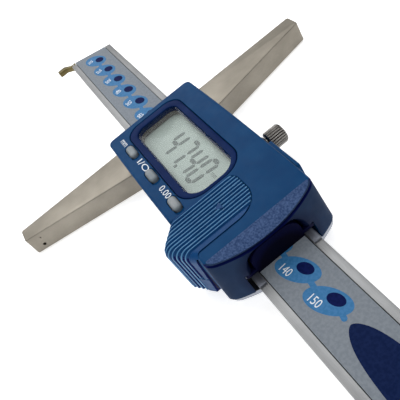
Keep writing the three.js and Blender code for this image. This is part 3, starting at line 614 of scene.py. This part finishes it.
def housing_outline(corner_x, bulge_x, flare):
    r = FRONT_RADIUS
    start = SHELL_LO.x + r
    right = side_at(RIGHT, start) + flare
    left = side_at(LEFT, start) - flare
    side = [start + (corner_x - NEAR_RADIUS - start) * i / 16 for i in range(1, 16)]
    return (
        arc(start, right - r, r, 90, 180, 8)
        + arc(start, left + r, r, 180, 270, 8)
        + [(x, side_at(LEFT, x) - flare) for x in side]
        + rounded_end(corner_x, bulge_x, side_at(LEFT, corner_x) - flare, side_at(RIGHT, corner_x) + flare)
        + [(x, side_at(RIGHT, x) + flare) for x in reversed(side)]
    )


def shell_outline(up):
    """The housing's plan at a share of its height, 0 at the bottom and 1 at the top."""
    corner_x = END_CORNER[0] + (END_CORNER[1] - END_CORNER[0]) * up
    bulge_x = END_BULGE[0] + (END_BULGE[1] - END_BULGE[0]) * up
    return housing_outline(corner_x, bulge_x, FLARE * (1 - up))


NEAR_FLANK = {"x": 57.6, "y": -14.3, "slope": 0.67}
FAR_FLANK = {"x": 44, "y": -14.9, "slope": -0.92}
NOSE_RADIUS, COVER_WALL = 2.6, 1.1
COVER_X0, COVER_X1, COVER_END = 44, 56.6, 3.5
COVER_SIDE_Y, COVER_FLARE_Y = -13.9, -12.3


def flank_y(flank, x, gap=0):
    return flank["y"] + flank["slope"] * (x - flank["x"]) - gap * math.hypot(1, flank["slope"])


def bulge_y(x, gap=0):
    """The bulge's wall at a place in X, grown by a gap: two flanks joined by an arc."""
    near, far, r = NEAR_FLANK, FAR_FLANK, NOSE_RADIUS
    lead = flank_y(far, 0, -r) - flank_y(near, 0, -r)
    centre_x = lead / (near["slope"] - far["slope"])
    centre_y = flank_y(near, centre_x, -r)
    reach = r + gap
    if x > centre_x + reach * math.sin(math.atan(near["slope"])):
        return flank_y(near, x, gap)
    if x < centre_x + reach * math.sin(math.atan(far["slope"])):
        return flank_y(far, x, gap)
    return centre_y - math.sqrt(reach**2 - (x - centre_x) ** 2)


def cover_plan(gap, past=0):
    """Plan of the battery cover, grown by a gap; past moves the bulge's wall outwards."""
    near_x, far_x = NEAR_FLANK["x"] + gap, COVER_X0 - gap
    xs = [far_x + (near_x - far_x) * i / 28 for i in range(29)]
    side_y = max(COVER_SIDE_Y + gap, bulge_y(near_x, gap) + 0.1)
    flare_y = max(COVER_FLARE_Y + gap, side_y + 0.5)
    x1, y1 = COVER_X1 + gap, COVER_END + gap
    near, far = 6.2 + gap, 2.5 + gap
    return (
        [(x, bulge_y(x, gap) - past) for x in xs]
        + bent((near_x, side_y), (x1, side_y), (x1, flare_y))
        + arc(x1 - near, y1 - near, near, 0, 90, 14)
        + arc(far_x + far, y1 - far, far, 90, 180, 8)
    )


def recess(gap, y1):
    """What the cover's near flank leaves free beside the housing's corner."""
    top = COVER_HI.z - COVER_WALL
    section = [(57 + gap, top), (55.8 + gap, 2), (70, 2), (70, top)]
    return loft("recess", [upright(section, y) for y in (-25, y1)])


def shell_blank():
    bottom, top = SHELL_LO.z, SHELL_HI.z
    height = top - bottom
    rings = [lift(shrunk(shell_outline(0), 0.2), bottom)]
    for z in (bottom + 0.2, bottom + height / 2, top - EDGE):
        rings.append(lift(shell_outline((z - bottom) / height), z))
    for i in range(1, 6):
        a = math.pi / 2 * i / 5
        rings.append(lift(shrunk(shell_outline(1), EDGE * (1 - math.cos(a))), top - EDGE + EDGE * math.sin(a)))
    return loft("housing_shell", rings)


def above_bevel(drop, height):
    """All that lies above the bevel's plane moved down by drop, up to a height."""
    reach = 20
    z = SHELL_HI.z - drop
    section = [
        (BEVEL_START, z), (BEVEL_START + reach, z - BEVEL_SLOPE * reach),
        (BEVEL_START + reach, z - BEVEL_SLOPE * reach + height), (BEVEL_START, z + height),
    ]
    return loft("slab", [upright(section, y) for y in (-30, 30)])


def lip_groove():
    """The groove that runs round the near end below the bevel's lip."""
    core = housing_outline(END_CORNER[1] - LIP_DEPTH, END_BULGE[1] - LIP_DEPTH, 1)
    return cut(above_bevel(LIP_THICK + LIP_GAP, LIP_GAP), prism("core", core, 0, 30))


MOUTH_SIDE, MOUTH_SIDE_TOP, ARCH_SIDE, ARCH_TOP, ARCH_RADIUS = 9, 8.9, 6.4, 13.6, 3.6


def arch(grow, x, z0=7):
    """The rule's way out, opened by grow, as a ring of points at x."""
    half, top = ARCH_SIDE + grow, ARCH_TOP + 0.25 * grow
    r = ARCH_RADIUS + 0.5 * grow
    outline = (
        [(-half, z0), (half, z0)]
        + arc(half - r, top - r, r, 0, 90, 8)
        + arc(r - half, top - r, r, 90, 180, 8)
    )
    return [(x, y, z) for y, z in outline]


def housing_shell():
    top = SHELL_HI.z
    cavity = block(3.6, 58.8, -13.1, 12.3, 0, CAVITY_TOP)
    foot = common(prism("foot", cover_plan(-1.3), SHELL_LO.z, 9), block(0, 80, -30, -12.7, 0, 30))
    cheek = common(prism("cheek", cover_plan(-0.3), SHELL_LO.z, CAVITY_TOP), recess(0.15, -13))
    ledge = block(COVER_X0 - 0.5, COVER_X1 + 0.5, -4.5, COVER_END + 1, CAVITY_TOP - 0.9, CAVITY_TOP + 0.1)
    shell = add(cut(shell_blank(), cavity), foot, cheek, ledge)
    entry = [(0, 57.8), (0, 61.2), (0.12, 61.8), (0.45, 62.5), (1.0, 63.1), (1.8, 63.7), (1.8, 70)]
    cutters = [
        above_bevel(0, 30),
        lip_groove(),
        block(0, 7.4, -20, 20, 0, 6.45),
        block(0, 70, -MOUTH_SIDE, MOUTH_SIDE, 0, BEAM_HI.z + 0.15),
        block(57.8, 70, -MOUTH_SIDE, MOUTH_SIDE, BEAM_HI.z, MOUTH_SIDE_TOP),
        loft("arch", [arch(grow, x) for grow, x in entry]),
        flared(rounded_rect(BEZEL_LO.x - CLEARANCE, BEZEL_HI.x + CLEARANCE, BEZEL_LO.y - CLEARANCE,
                            BEZEL_HI.y + CLEARANCE, 4.2, 12, 6), CAVITY_TOP - 1, top, 0.12),
        flared(cover_plan(CLEARANCE), CAVITY_TOP - 0.05, top, 0.12),
        block(COVER_X0 + 0.65, COVER_X1 - 0.05, -25, -4.6, 9.1, top + 1),
        turned("bore", [(1.5, 11), (1.5, 16)], "y", (LOCK_X, LOCK_Z)),
        turned("seat", [(2.35, 14.05), (2.35, 20)], "y", (LOCK_X, LOCK_Z)),
        block(44, 53, 11, 16, 9.4, 12.2),
        block(PORT_LO.x - 8.4, PORT_HI.x + 0.2, 13.15, 16, 13, 13.8),
    ]
    for node in KEYS.values():
        low, high = span(node)
        x, y = (low.x + high.x) / 2, (low.y + high.y) / 2
        cutters.append(flared(slot_outline(x, y, 5.5, 2.6), CAVITY_TOP - 1, top, 0.1))
        cutters.append(flared(slot_outline(x + 0.85, y, 6.9, 2.3), top - 0.7, top, 0.1))
    cut(shell, *cutters)
    bevel(shell, 0.1, 2, 50)
    place(shell, "housing_shell", "slider", BLUE, ["housing"])
    for material in (BLUE_BEVEL_AND_HIGHLIGHT, BLUE_END_PAINTED_SHADOW, NAVY_PAINTED_SHADE, MOUTH_BLACK_AND_PAINTED_SHADE):
        shell.data.materials.append(material)
    normal = Vector((BEVEL_SLOPE, 0, 1)).normalized()
    for polygon in shell.data.polygons:
        x, y, z = polygon.center / MM
        below = top - BEVEL_SLOPE * (x - BEVEL_START) - z
        if polygon.normal.dot(normal) > 0.999 and x > BEVEL_START and below < 0.1:
            polygon.material_index = 1
        # Painted shade in the groove under the bevel's lip.
        elif x > BEVEL_START - 0.1 and LIP_THICK - 0.05 < below < LIP_THICK + LIP_GAP + 0.05:
            polygon.material_index = 3
        # Painted highlight: the rounded near corner on the -Y side takes the lighter bevel blue.
        elif x > 59 and y < -14.1 and 0.15 < polygon.normal.x < 0.92:
            polygon.material_index = 1
        # The near end's faces take the slate with its painted shadow round the rule's way out.
        elif x > 58.9 and (polygon.normal.x > 0.35 or abs(y) < ARCH_SIDE + 2.2):
            polygon.material_index = 2
        # Painted shade: the housing's faces in the gap beside the battery cover take the near-black of the rule's way
        # out.
        elif y < -14.6 and z < CAVITY_TOP:
            polygon.material_index = 4


# ---------------------------------------------------------------- battery cover

RIB_PITCH, RIB_DEPTH, RIB_FIRST = 0.99, 0.45, 44.6
COVER_BEND = 2.4
NEAR_MARGIN = 55.8
STEP_X, STEP_Z = 54, 7.5


def smooth(value):
    value = min(1, max(0, value))
    return value * value * (3 - 2 * value)


def cover_section(x):
    """Points, outward directions and heights of the cover's section at x, in Y and Z."""
    wall_y = bulge_y(x)
    lean = (wall_y - bulge_y(x, 1))
    bend_y, bend_z = wall_y + COVER_BEND, COVER_HI.z - COVER_BEND
    path = [((COVER_END + 1 + (bend_y - COVER_END - 1) * i / 14, COVER_HI.z), (0, 1)) for i in range(14)]
    for i in range(13):
        a = math.pi / 2 * (1 + i / 12)
        out = (math.cos(a), math.sin(a))
        path.append(((bend_y + COVER_BEND * out[0], bend_z + COVER_BEND * out[1]), (out[0] * lean, out[1])))
    levels = [12, 10, 8.4, 7.9, 7.7, 7.6, 7.5, 7.4, 7.3, 7.1, 6, 4.2, COVER_LO.z]
    for z in levels:
        path.append(((wall_y, z), (-lean, 0)))
    return path


def rib_drop(x, z):
    """How far the surface lies below the ribs' crests."""
    crest = abs(math.cos(math.pi * (x - RIB_FIRST) / RIB_PITCH)) ** 1.6
    ribbed = smooth((NEAR_MARGIN - x) / 0.3) * smooth((x - COVER_X0 - 0.2) / 0.3)
    if x > STEP_X:
        ribbed *= smooth((z - STEP_Z) / 0.3)
    step = 0.35 * smooth((x - STEP_X) / 0.3) * (1 - smooth(abs(z - STEP_Z) / 0.2))
    return max(RIB_DEPTH * (1 - crest) * ribbed, step)


def battery_cover():
    columns = 170
    xs = [COVER_X0 - 0.4 + (NEAR_FLANK["x"] - COVER_X0 + 0.8) * i / columns for i in range(columns + 1)]
    rings = []
    for x in xs:
        outer, inner = [], []
        for (y, z), (oy, oz) in cover_section(x):
            drop = rib_drop(x, z)
            outer.append((x, y - oy * drop, z - oz * drop))
            inner.append((x, y - oy * COVER_WALL, z - oz * COVER_WALL))
        rings.append(outer + inner[::-1])
    cover = loft("battery_cover_ribbed", rings)
    common(cover, prism("plan", cover_plan(0, 1), 0, 30))
    inner_top = COVER_HI.z - COVER_WALL
    beside = prism("beside", housing_outline(END_CORNER[0], END_BULGE[0], FLARE + 0.12), 0, inner_top)
    cut(cover, beside, recess(0, COVER_SIDE_Y))
    place(cover, "battery_cover_ribbed", "battery_door", BLUE_COVER, ["battery_cover"], sharp=40)
    cover.data.materials.append(BLUE_CREST_HIGHLIGHT)
    cover.data.materials.append(NAVY_PAINTED_SHADE)
    for polygon in cover.data.polygons:
        x, y, z = polygon.center / MM
        # Painted highlight along each rib's crest.
        crest = abs(math.cos(math.pi * (x - RIB_FIRST) / RIB_PITCH)) > 0.9
        if crest and x < NEAR_MARGIN and rib_drop(x + RIB_PITCH / 4, z) > 0.05:
            polygon.material_index = 1
        # Painted shade on the cover's cut faces beside the housing's near corner.
        if polygon.normal.x > 0.9 and z < inner_top:
            polygon.material_index = 2


def cover_arrow():
    """The raised arrow on the cover, pointing the way it slides open."""
    x, y, top = 50, -3.2, COVER_HI.z
    head = [(x - 1.2, y), (x, y - 1.7), (x + 1.2, y)]
    arrow = soft_prism("cover_arrow", head, top - 0.4, top + 0.02, 0.08)
    place(arrow, "cover_arrow", "battery_door", BLUE_COVER)


# ---------------------------------------------------------------- display

WINDOW_RADIUS, WINDOW_NEAR = 3, 4.5


def bezel_ring():
    """Navy ring: crowned top, a step for the lens and a dull well down to the display, its far wall in painted shade.
    """
    outer = (BEZEL_LO.x, BEZEL_HI.x, BEZEL_LO.y, BEZEL_HI.y, 4.2, 6)
    inner = (LENS_LO.x - 0.05, LENS_HI.x + 0.05, LENS_LO.y - 0.05, LENS_HI.y + 0.05, WINDOW_RADIUS, WINDOW_NEAR)
    top, bottom, seat = BEZEL_HI.z, BEZEL_LO.z, LENS_LO.z - 0.05

    def ring(size, inset, z):
        x0, x1, y0, y1, r, near = size
        outline = rounded_rect(x0 + inset, x1 - inset, y0 + inset, y1 - inset, r - inset, 12, near - inset)
        return lift(outline, z)

    bezel = loft("bezel_ring", [
        ring(outer, 0, bottom), ring(outer, 0, top - 0.3), ring(outer, 0.09, top - 0.09), ring(outer, 0.3, top),
        ring(inner, -0.25, top), ring(inner, -0.08, top - 0.06), ring(inner, 0, top - 0.22), ring(inner, 0, seat),
        ring(inner, 0.4, seat), ring(inner, 0.4, bottom),
    ], capped=False)
    place(bezel, "bezel_ring", "slider", NAVY, ["display_bezel"])
    bezel.data.materials.append(WELL)
    bezel.data.materials.append(WELL_FAR_PAINTED_SHADE)
    for polygon in bezel.data.polygons:
        if polygon.center.z < (seat + 0.01) * MM and abs(polygon.normal.z) < 0.5:
            middle = Vector(((outer[0] + outer[1]) / 2, (outer[2] + outer[3]) / 2, 0)) * MM
            if polygon.normal.dot(middle - polygon.center) > 0:
                # The far wall takes the painted shade, the other walls the grey of the well.
                polygon.material_index = 2 if polygon.normal.x > 0.3 else 1


def window_lens():
    outline = rounded_rect(
        LENS_LO.x, LENS_HI.x, LENS_LO.y, LENS_HI.y, WINDOW_RADIUS - 0.05, 12, WINDOW_NEAR - 0.05
    )
    lens = soft_prism("window_lens", outline, LENS_LO.z, LENS_HI.z, 0.15, 2, 0.02)
    place(lens, "window_lens", "slider", LENS_CLEAR, ["display_lens"])


DIGIT_HEIGHT, DIGIT_WIDTH, STROKE, SLANT = 9.0, 4.2, 1.15, math.tan(math.radians(8))
SEGMENTS = {"0": "abcdef", "4": "bcfg", "7": "abc"}
READING = [("4", 18.0), ("7", 23.2), ("4", 28.5), ("0", 33.5)]
DIGIT_Y = -0.7


def segment_outline(key):
    """A seven-segment bar about the digit's middle: six-sided, with pointed ends."""
    w, h, s = DIGIT_WIDTH / 2 - STROKE / 2, DIGIT_HEIGHT / 2 - STROKE / 2, STROKE / 2
    gap = 0.12
    ends = {
        "a": ((-w, h), (w, h)), "g": ((-w, 0), (w, 0)), "d": ((-w, -h), (w, -h)),
        "f": ((-w, 0), (-w, h)), "b": ((w, 0), (w, h)), "e": ((-w, -h), (-w, 0)), "c": ((w, -h), (w, 0)),
    }[key]
    a, b = Vector(ends[0]), Vector(ends[1])
    along = (b - a).normalized()
    side = Vector((-along.y, along.x)) * s
    a, b = a + along * gap, b - along * gap
    return [a, a + along * s - side, b - along * s - side, b, b - along * s + side, a + along * s + side]


def lcd_digits():
    top = LCD_HI.z
    bars = []
    for digit, x in READING:
        for key in SEGMENTS[digit]:
            outline = [(x + p.x + SLANT * p.y, DIGIT_Y + p.y) for p in segment_outline(key)]
            bars.append(prism("bar", outline, top - 0.05, top + 0.02))
    dot_x = (READING[1][1] + READING[2][1]) / 2 - 0.35
    dot_y = DIGIT_Y - DIGIT_HEIGHT / 2 + STROKE / 2
    dot = rounded_rect(dot_x - 0.5, dot_x + 0.5, dot_y - 0.5, dot_y + 0.5, 0.2, 3)
    bars.append(prism("dot", dot, top - 0.05, top + 0.02))
    bars.append(lettering("mm", 1.4, (37.4, 0.6, top), thick=0.02, squeeze=0.8))
    place(merged("lcd_digits", bars), "lcd_digits", "slider", LCD_DARK)


def lcd_glass():
    rear = soft_prism("lcd_glass", rectangle(LCD_LO.x, LCD_HI.x, LCD_LO.y, LCD_HI.y), LCD_LO.z, LCD_HI.z - 1.1, 0.1, 2)
    glass = rectangle(LCD_LO.x, LCD_HI.x, LCD_LO.y + 1.6, LCD_HI.y - 1.6)
    front = soft_prism("front", glass, LCD_LO.z + 0.5, LCD_HI.z, 0.05, 2)
    place(add(rear, front), "lcd_glass", "slider", LCD_GREY, ["lcd_panel"])


# ---------------------------------------------------------------- keys


def key_cap(key, node):
    """A crowned oval key on its flange and stem."""
    low, high = span(node)
    x, y = (low.x + high.x) / 2, (low.y + high.y) / 2
    length, width, top = 5.2, 2.3, high.z
    rings = []
    for inset, z in ((0, low.z + 0.5), (0, top - 0.75), (0.05, top - 0.5), (0.17, top - 0.28),
                     (0.38, top - 0.12), (0.7, top - 0.03), (1.0, top)):
        rings.append(lift(slot_outline(x, y, length - 2 * inset, width - 2 * inset), z))
    cap = loft("key", rings)
    flange = prism("flange", slot_outline(x, y, length + 1.2, width + 0.6), low.z + 0.5, high.z - 1.8)
    stem = block(x - 0.8, x + 0.8, y - 0.5, y + 0.8, low.z, low.z + 0.6)
    add(cap, flange, stem)
    place(cap, f"key_{key}", f"{key}_key", SILVER_KEY, [node])


def key_legends():
    """Generic marks beside the keys: unit, on and off, and nought."""
    marks = []
    for node, text, width in (("button_units", "mm", 0.95), ("button_power", "I/O", 1.9), ("button_zero", "0.00", 1.2)):
        low, high = span(node)
        at = (low.x - 1.9, (low.y + high.y) / 2, SHELL_HI.z)
        marks.append(lettering(text, 1.7, at, thick=0.02, squeeze=width))
    place(merged("key_legends", marks), "key_legends", "slider", INK_WHITE)


# ---------------------------------------------------------------- rule and its printed film

SCALE_ZERO = -70.2
TIP_SLANT = 6.4
INLAY_HALF, FILM_HALF = 6.1, 5.93
PRINT = 0.012
BLOB = {"centre": (-1.0, 0.0), "half": (5.4, 2.8), "tilt": 25}
SPOT = {"centre": (0.0, 1.3), "half": (2.1, 1.3), "tilt": 18}


def slanted(half, inset, end):
    """The rule's plan: a slanted tip and a square end."""
    width = BEAM_HI.y - BEAM_LO.y

    def tip(y):
        return BEAM_LO.x + inset + TIP_SLANT * (y - BEAM_LO.y) / width

    return [(tip(-half), -half), (end, -half), (end, half), (tip(half), half)]


def rule_beam():
    beam = prism("rule_beam", slanted(BEAM_HI.y, 0, BEAM_HI.x), BEAM_LO.z, BEAM_HI.z)
    inlay = block(BEAM_LO.x - 5, BEAM_HI.x + 5, -INLAY_HALF, INLAY_HALF, span("scale_circuit")[0].z, BEAM_HI.z + 1)
    seat = block(BEAM_LO.x - 2, HOOK_HI.x + 0.1, BEAM_LO.y - 1, HOOK_HI.y + 0.05, HOOK_LO.z - 0.1, HOOK_HI.z + 0.1)
    stop_lo, stop_hi = span("end_stop")
    middle = (stop_lo.x + stop_hi.x) / 2
    holes = [turned("hole", [(0.85, BEAM_LO.z - 1), (0.85, 6)], "z", (middle, y)) for y in (-4, 4)]
    cut(beam, inlay, seat, *holes)
    bevel(beam, 0.14, 2, 60)
    place(beam, "rule_beam", "rule", POLISHED, ["beam"])


def film_base():
    film = soft_prism("scale_film", slanted(FILM_HALF, 0.05, BEAM_HI.x - 0.05), FILM_LO.z, FILM_HI.z, 0.04, 2)
    place(film, "scale_film", "rule", FILM, ["scale_label"])


def oval(spec, x, steps=40):
    (cx, cy), (a, b), tilt = spec["centre"], spec["half"], math.radians(spec["tilt"])
    points = []
    for i in range(steps):
        t = 2 * math.pi * i / steps
        u, v = a * math.cos(t), b * math.sin(t)
        points.append((x + cx + u * math.cos(tilt) - v * math.sin(tilt), cy + u * math.sin(tilt) + v * math.cos(tilt)))
    return points


def capsule(a, b, half):
    """A stadium between two points."""
    angle = math.degrees(math.atan2(b[1] - a[1], b[0] - a[0]))
    return arc(*b, half, angle - 90, angle + 90, 10) + arc(*a, half, angle + 90, angle + 270, 10)


def film_print():
    """Linked blue ovals with a dark spot and a white number at every 10 mm."""
    z = FILM_HI.z
    blobs, spots, numbers = [], [], []
    for k in range(1, 16):
        x = SCALE_ZERO + 10 * k
        blobs.append(prism("blob", oval(BLOB, x), z - 0.02, z + PRINT))
        tip = x + 4.9 if k < 15 else x + 4.1
        blobs.append(prism("neck", capsule((x + 3.0, 0.2), (tip, -0.1), 0.6), z - 0.02, z + PRINT - 0.002))
        spots.append(prism("spot", oval(SPOT, x), z, z + 2 * PRINT))
        numbers.append(lettering(str(10 * k), 1.9, (x - 2.9, -1.85, z + PRINT), turn=5, thick=0.015, squeeze=0.84))
    place(merged("scale_blobs", blobs), "scale_blobs", "rule", INK_BLUE)
    place(merged("scale_spots", spots), "scale_spots", "rule", INK_DARK)
    place(merged("scale_numbers", numbers), "scale_numbers", "rule", INK_WHITE)


def film_swoosh():
    """Navy field that opens from a rounded nose towards the rule's end."""
    nose, end, half = SCALE_ZERO + 155.85, BEAM_HI.x - 6, 4.7
    upper = []
    for i in range(40):
        x = 30 * (i / 39) ** 2
        upper.append((nose + x, half * (1 - math.exp(-x / 7.5)) ** 0.62))
    outline = [(x, -y) for x, y in upper] + arc(end - half, 0, half, -90, 90, 16) + upper[:0:-1]
    swoosh = prism("scale_swoosh", outline, FILM_HI.z - 0.02, FILM_HI.z + PRINT)
    place(swoosh, "scale_swoosh", "rule", INK_NAVY)


def hook():
    """Hook past the rule's side, on a bent tongue that is pinned into the rule."""
    low, high = HOOK_LO, HOOK_HI
    width, bend = 2.2, 3.0
    tongue = high.x - 1.8
    neck_y = low.y + bend + high.x - low.x - width
    arm = soft_prism("hook_arm", [
        (low.x + 0.4, low.y), (low.x + width - 0.3, low.y), (low.x + width, low.y + 0.3),
        (low.x + width, low.y + bend), (high.x, neck_y), (high.x, high.y), (tongue, high.y),
        (tongue, neck_y), (low.x, low.y + bend), (low.x, low.y + 0.4),
    ], low.z, high.z, 0.15)
    cut(arm, turned("hole", [(0.5, 0), (0.5, 10)], "z", (-70.4, -7.2)))
    place(arm, "hook_arm", "rule", DARK_STEEL, ["depth_hook"])


# ---------------------------------------------------------------- base

BASE_THICK, BASE_END, BASE_ROOT_X, BASE_ROOT_Y = 6.3, 5.4, 6.2, 18
RAIL = {"start": 5.6, "end": 58.6, "outer": 11.2, "bottom": 3.5, "top": 7.3}
CHANNEL = {"floor": 3.5, "side": 8.1, "gib": 8.9}


def base_bar():
    half = BASE_HI.y
    face, end = BASE_LO.x, BASE_LO.x + BASE_END
    slope = (BASE_ROOT_X - end) / (half - BASE_ROOT_Y)
    inner = 14
    inner_x = end + slope * (half - inner)
    r = 0.7
    outline = (
        arc(face + r, half - r, r, 90, 180, 5)
        + arc(face + r, -half + r, r, 180, 270, 5)
        + arc(end - r, -half + r, r, 270, 352, 5)
        + [(inner_x, -inner), (inner_x, inner)]
        + arc(end - r, half - r, r, 8, 90, 5)
    )
    bar = soft_prism("base_bar", outline, 0, BASE_THICK, 0.3, 3)
    left = block(RAIL["start"], RAIL["end"], -RAIL["outer"], -CHANNEL["side"], RAIL["bottom"], RAIL["top"])
    right = block(RAIL["start"], RAIL["end"], CHANNEL["gib"], RAIL["outer"], RAIL["bottom"], RAIL["top"])
    lip = [(58.2, 6.25), (66.7, 6.25), (66.7, 8), (62.4, 8), (62.4, 8.9), (58.7, 8.9), (58.7, 10), (58.2, 10)]
    lips = [prism("lip", lip, 7.25, 7.8), prism("lip", [(x, -y) for x, y in reversed(lip)], 7.25, 7.8)]
    add(bar, left, right)
    channel = block(face - 1, RAIL["end"] + 1, -CHANNEL["side"], CHANNEL["side"], CHANNEL["floor"], 20)
    cutters = [channel, turned("bore", [(1.35, 8), (1.35, 13)], "y", (LOCK_X, LOCK_Z))]
    # two small marks drilled in the back face near the end of the -Y arm
    for y, z, depth, radius in ((-half + 3.4, 1.9, 0.8, 0.5), (-half + 3.9, 4.6, 0.5, 0.22)):
        x = end + slope * 3.5
        drill = turned("drill", [(radius, -1), (radius, depth)], "z", (0, 0), 20)
        drill.data.transform(Matrix.Translation((x - depth, y, z)) @ Matrix.Rotation(math.pi / 2, 4, "Y"))
        cutters.append(drill)
    add(cut(bar, *cutters), *lips)
    bevel(bar, 0.06, 1, 60)
    place(bar, "base_bar", "slider", SATIN, ["slider_frame"])
    bar.data.materials.append(PLATE)
    for polygon in bar.data.polygons:
        if polygon.center.x > 57 * MM and polygon.center.z > 7 * MM:
            polygon.material_index = 1


# ---------------------------------------------------------------- lock screw and side covers


def lock_knob():
    """Straight-knurled head with chamfered rims, on a plain stem."""
    teeth, per_tooth, depth = 24, 8, 0.5
    start, end, radius = KNOB_HI.y - 4.85, KNOB_HI.y, (KNOB_HI.x - KNOB_LO.x) / 2
    stem = 1.25
    rows = [
        (0.3, KNOB_LO.y, 0), (stem - 0.2, KNOB_LO.y, 0), (stem, KNOB_LO.y + 0.25, 0), (stem, start, 0),
        (radius - 0.75, start, 0), (radius - 0.4, start + 0.08, 0.35), (radius - 0.1, start + 0.3, 0.85),
        (radius, start + 0.55, 1), (radius, end - 0.95, 1), (radius - 0.06, end - 0.7, 0.95),
        (radius - 0.22, end - 0.42, 0.7), (radius - 0.48, end - 0.18, 0.3), (radius - 0.8, end - 0.04, 0),
        (radius - 1.1, end, 0), (radius - 1.3, end - 0.02, 0), (radius - 1.45, end - 0.12, 0), (0.3, end - 0.16, 0),
    ]
    rings = []
    for r, y, share in rows:
        ring = []
        for i in range(teeth * per_tooth):
            a = 2 * math.pi * i / (teeth * per_tooth)
            valley = 1 - abs(math.sin(teeth * a / 2)) ** 0.8
            reach = r - depth * share * valley
            ring.append((LOCK_X + reach * math.cos(a), y, LOCK_Z - reach * math.sin(a)))
        rings.append(ring)
    place(loft("lock_knob", rings), "lock_knob", "lock_knob", NICKEL, ["lock_screw"], sharp=50)


def lock_collar():
    low, high = span("lock_bush")
    inner, outer = 1.5, (high.x - low.x) / 2
    profile = [
        (inner, low.y), (outer, low.y), (outer, high.y - 1.0), (outer - 0.3, high.y - 0.85), (outer - 0.3, high.y - 0.7),
        (outer - 0.05, high.y - 0.6), (outer - 0.05, high.y - 0.2), (outer - 0.25, high.y), (inner, high.y), (inner, low.y),
    ]
    collar = turned("lock_collar", profile, "y", (LOCK_X, LOCK_Z))
    place(collar, "lock_collar", "slider", BLACK, ["lock_bush"])


def port_cover():
    """Sliding cover of the data socket, with rounded edges and three grip lines."""
    low, high = PORT_LO, PORT_HI
    face0 = 14.15
    outline = rounded_rect(low.x, high.x, low.z, high.z, 0.8, 5)
    against = [(x, 13.98 + FLARE * (SHELL_HI.z - z) / (SHELL_HI.z - SHELL_LO.z), z) for x, z in outline]
    rings = [against]
    for i in range(4):
        a = math.pi / 2 * i / 3
        inset = 0.35 * (1 - math.cos(a))
        rings.append(upright(shrunk(outline, inset), high.y - 0.35 + 0.35 * math.sin(a)))
    plate = loft("port_cover", rings)
    rib = block(low.x + 1, high.x - 1, low.y, face0 + 0.3, 13.1, 13.7)
    add(plate, rib)
    grooves = []
    for i in range(3):
        x = low.x + 2 + 1.2 * i
        grooves.append(block(x, x + 0.4, high.y - 0.25, high.y + 1, low.z + 1.4, high.z - 1.4))
    cut(plate, *grooves)
    place(plate, "port_cover", "port_door", BLUE, ["data_port_cover"])


# ---------------------------------------------------------------- assembly

KEPT = {
    "back_plate": PLATE, "gib_strip": BRASS, "gib_screw_1": DARK_STEEL, "gib_screw_2": DARK_STEEL,
    "lock_shoe": BRASS, "scale_circuit": RESIN, "hook_pin": NICKEL, "end_stop": SATIN,
    "end_stop_screw_1": NICKEL, "end_stop_screw_2": NICKEL, "lcd_connector_1": RUBBER, "lcd_connector_2": RUBBER,
    "circuit_board": BOARD, "switch_units": BLACK, "switch_power": BLACK, "switch_zero": BLACK,
    "battery_cell": NICKEL, "battery_contact_minus": BRASS, "battery_contact_plus": BRASS,
    # the rear wiper takes black plastic with a painted shadow
    "data_connector": BLACK, "wiper_front": RUBBER, "wiper_rear": MOUTH_BLACK_AND_PAINTED_SHADE,
}

for kept_node, kept_material in KEPT.items():
    paint(kept_node, kept_material)
for number in range(1, 5):
    paint(f"frame_screw_{number}", NICKEL)
    paint(f"housing_screw_{number}", NICKEL)

housing_shell()
battery_cover()
cover_arrow()
bezel_ring()
window_lens()
lcd_glass()
lcd_digits()
for key_name, key_node in KEYS.items():
    key_cap(key_name, key_node)
key_legends()
rule_beam()
film_base()
film_print()
film_swoosh()
hook()
base_bar()
lock_knob()
lock_collar()
port_cover()

# ---------------------------------------------------------------- stage

FLOOR_HALF = 900
corners = rectangle(-FLOOR_HALF, FLOOR_HALF, -FLOOR_HALF, FLOOR_HALF)
floor = make("floor", [(x, y, 0) for x, y in corners], [(0, 1, 2, 3)])
floor.data.transform(Matrix.Scale(MM, 4))
floor.location.z = -0.0005
floor.data.materials.append(floor_white("floor_paper"))

bpy.context.scene.view_settings.view_transform = "Standard"
add_camera()
add_world(0.32)
add_softbox("key", (-0.34, -0.02, 0.42), (0.5, 0.6), 2.0)
add_softbox("fill", (0.3, -0.45, 0.5), (0.5, 0.5), 0.9)
add_softbox("overhead", (0.05, 0.3, 0.7), (0.6, 0.4), 1.2)
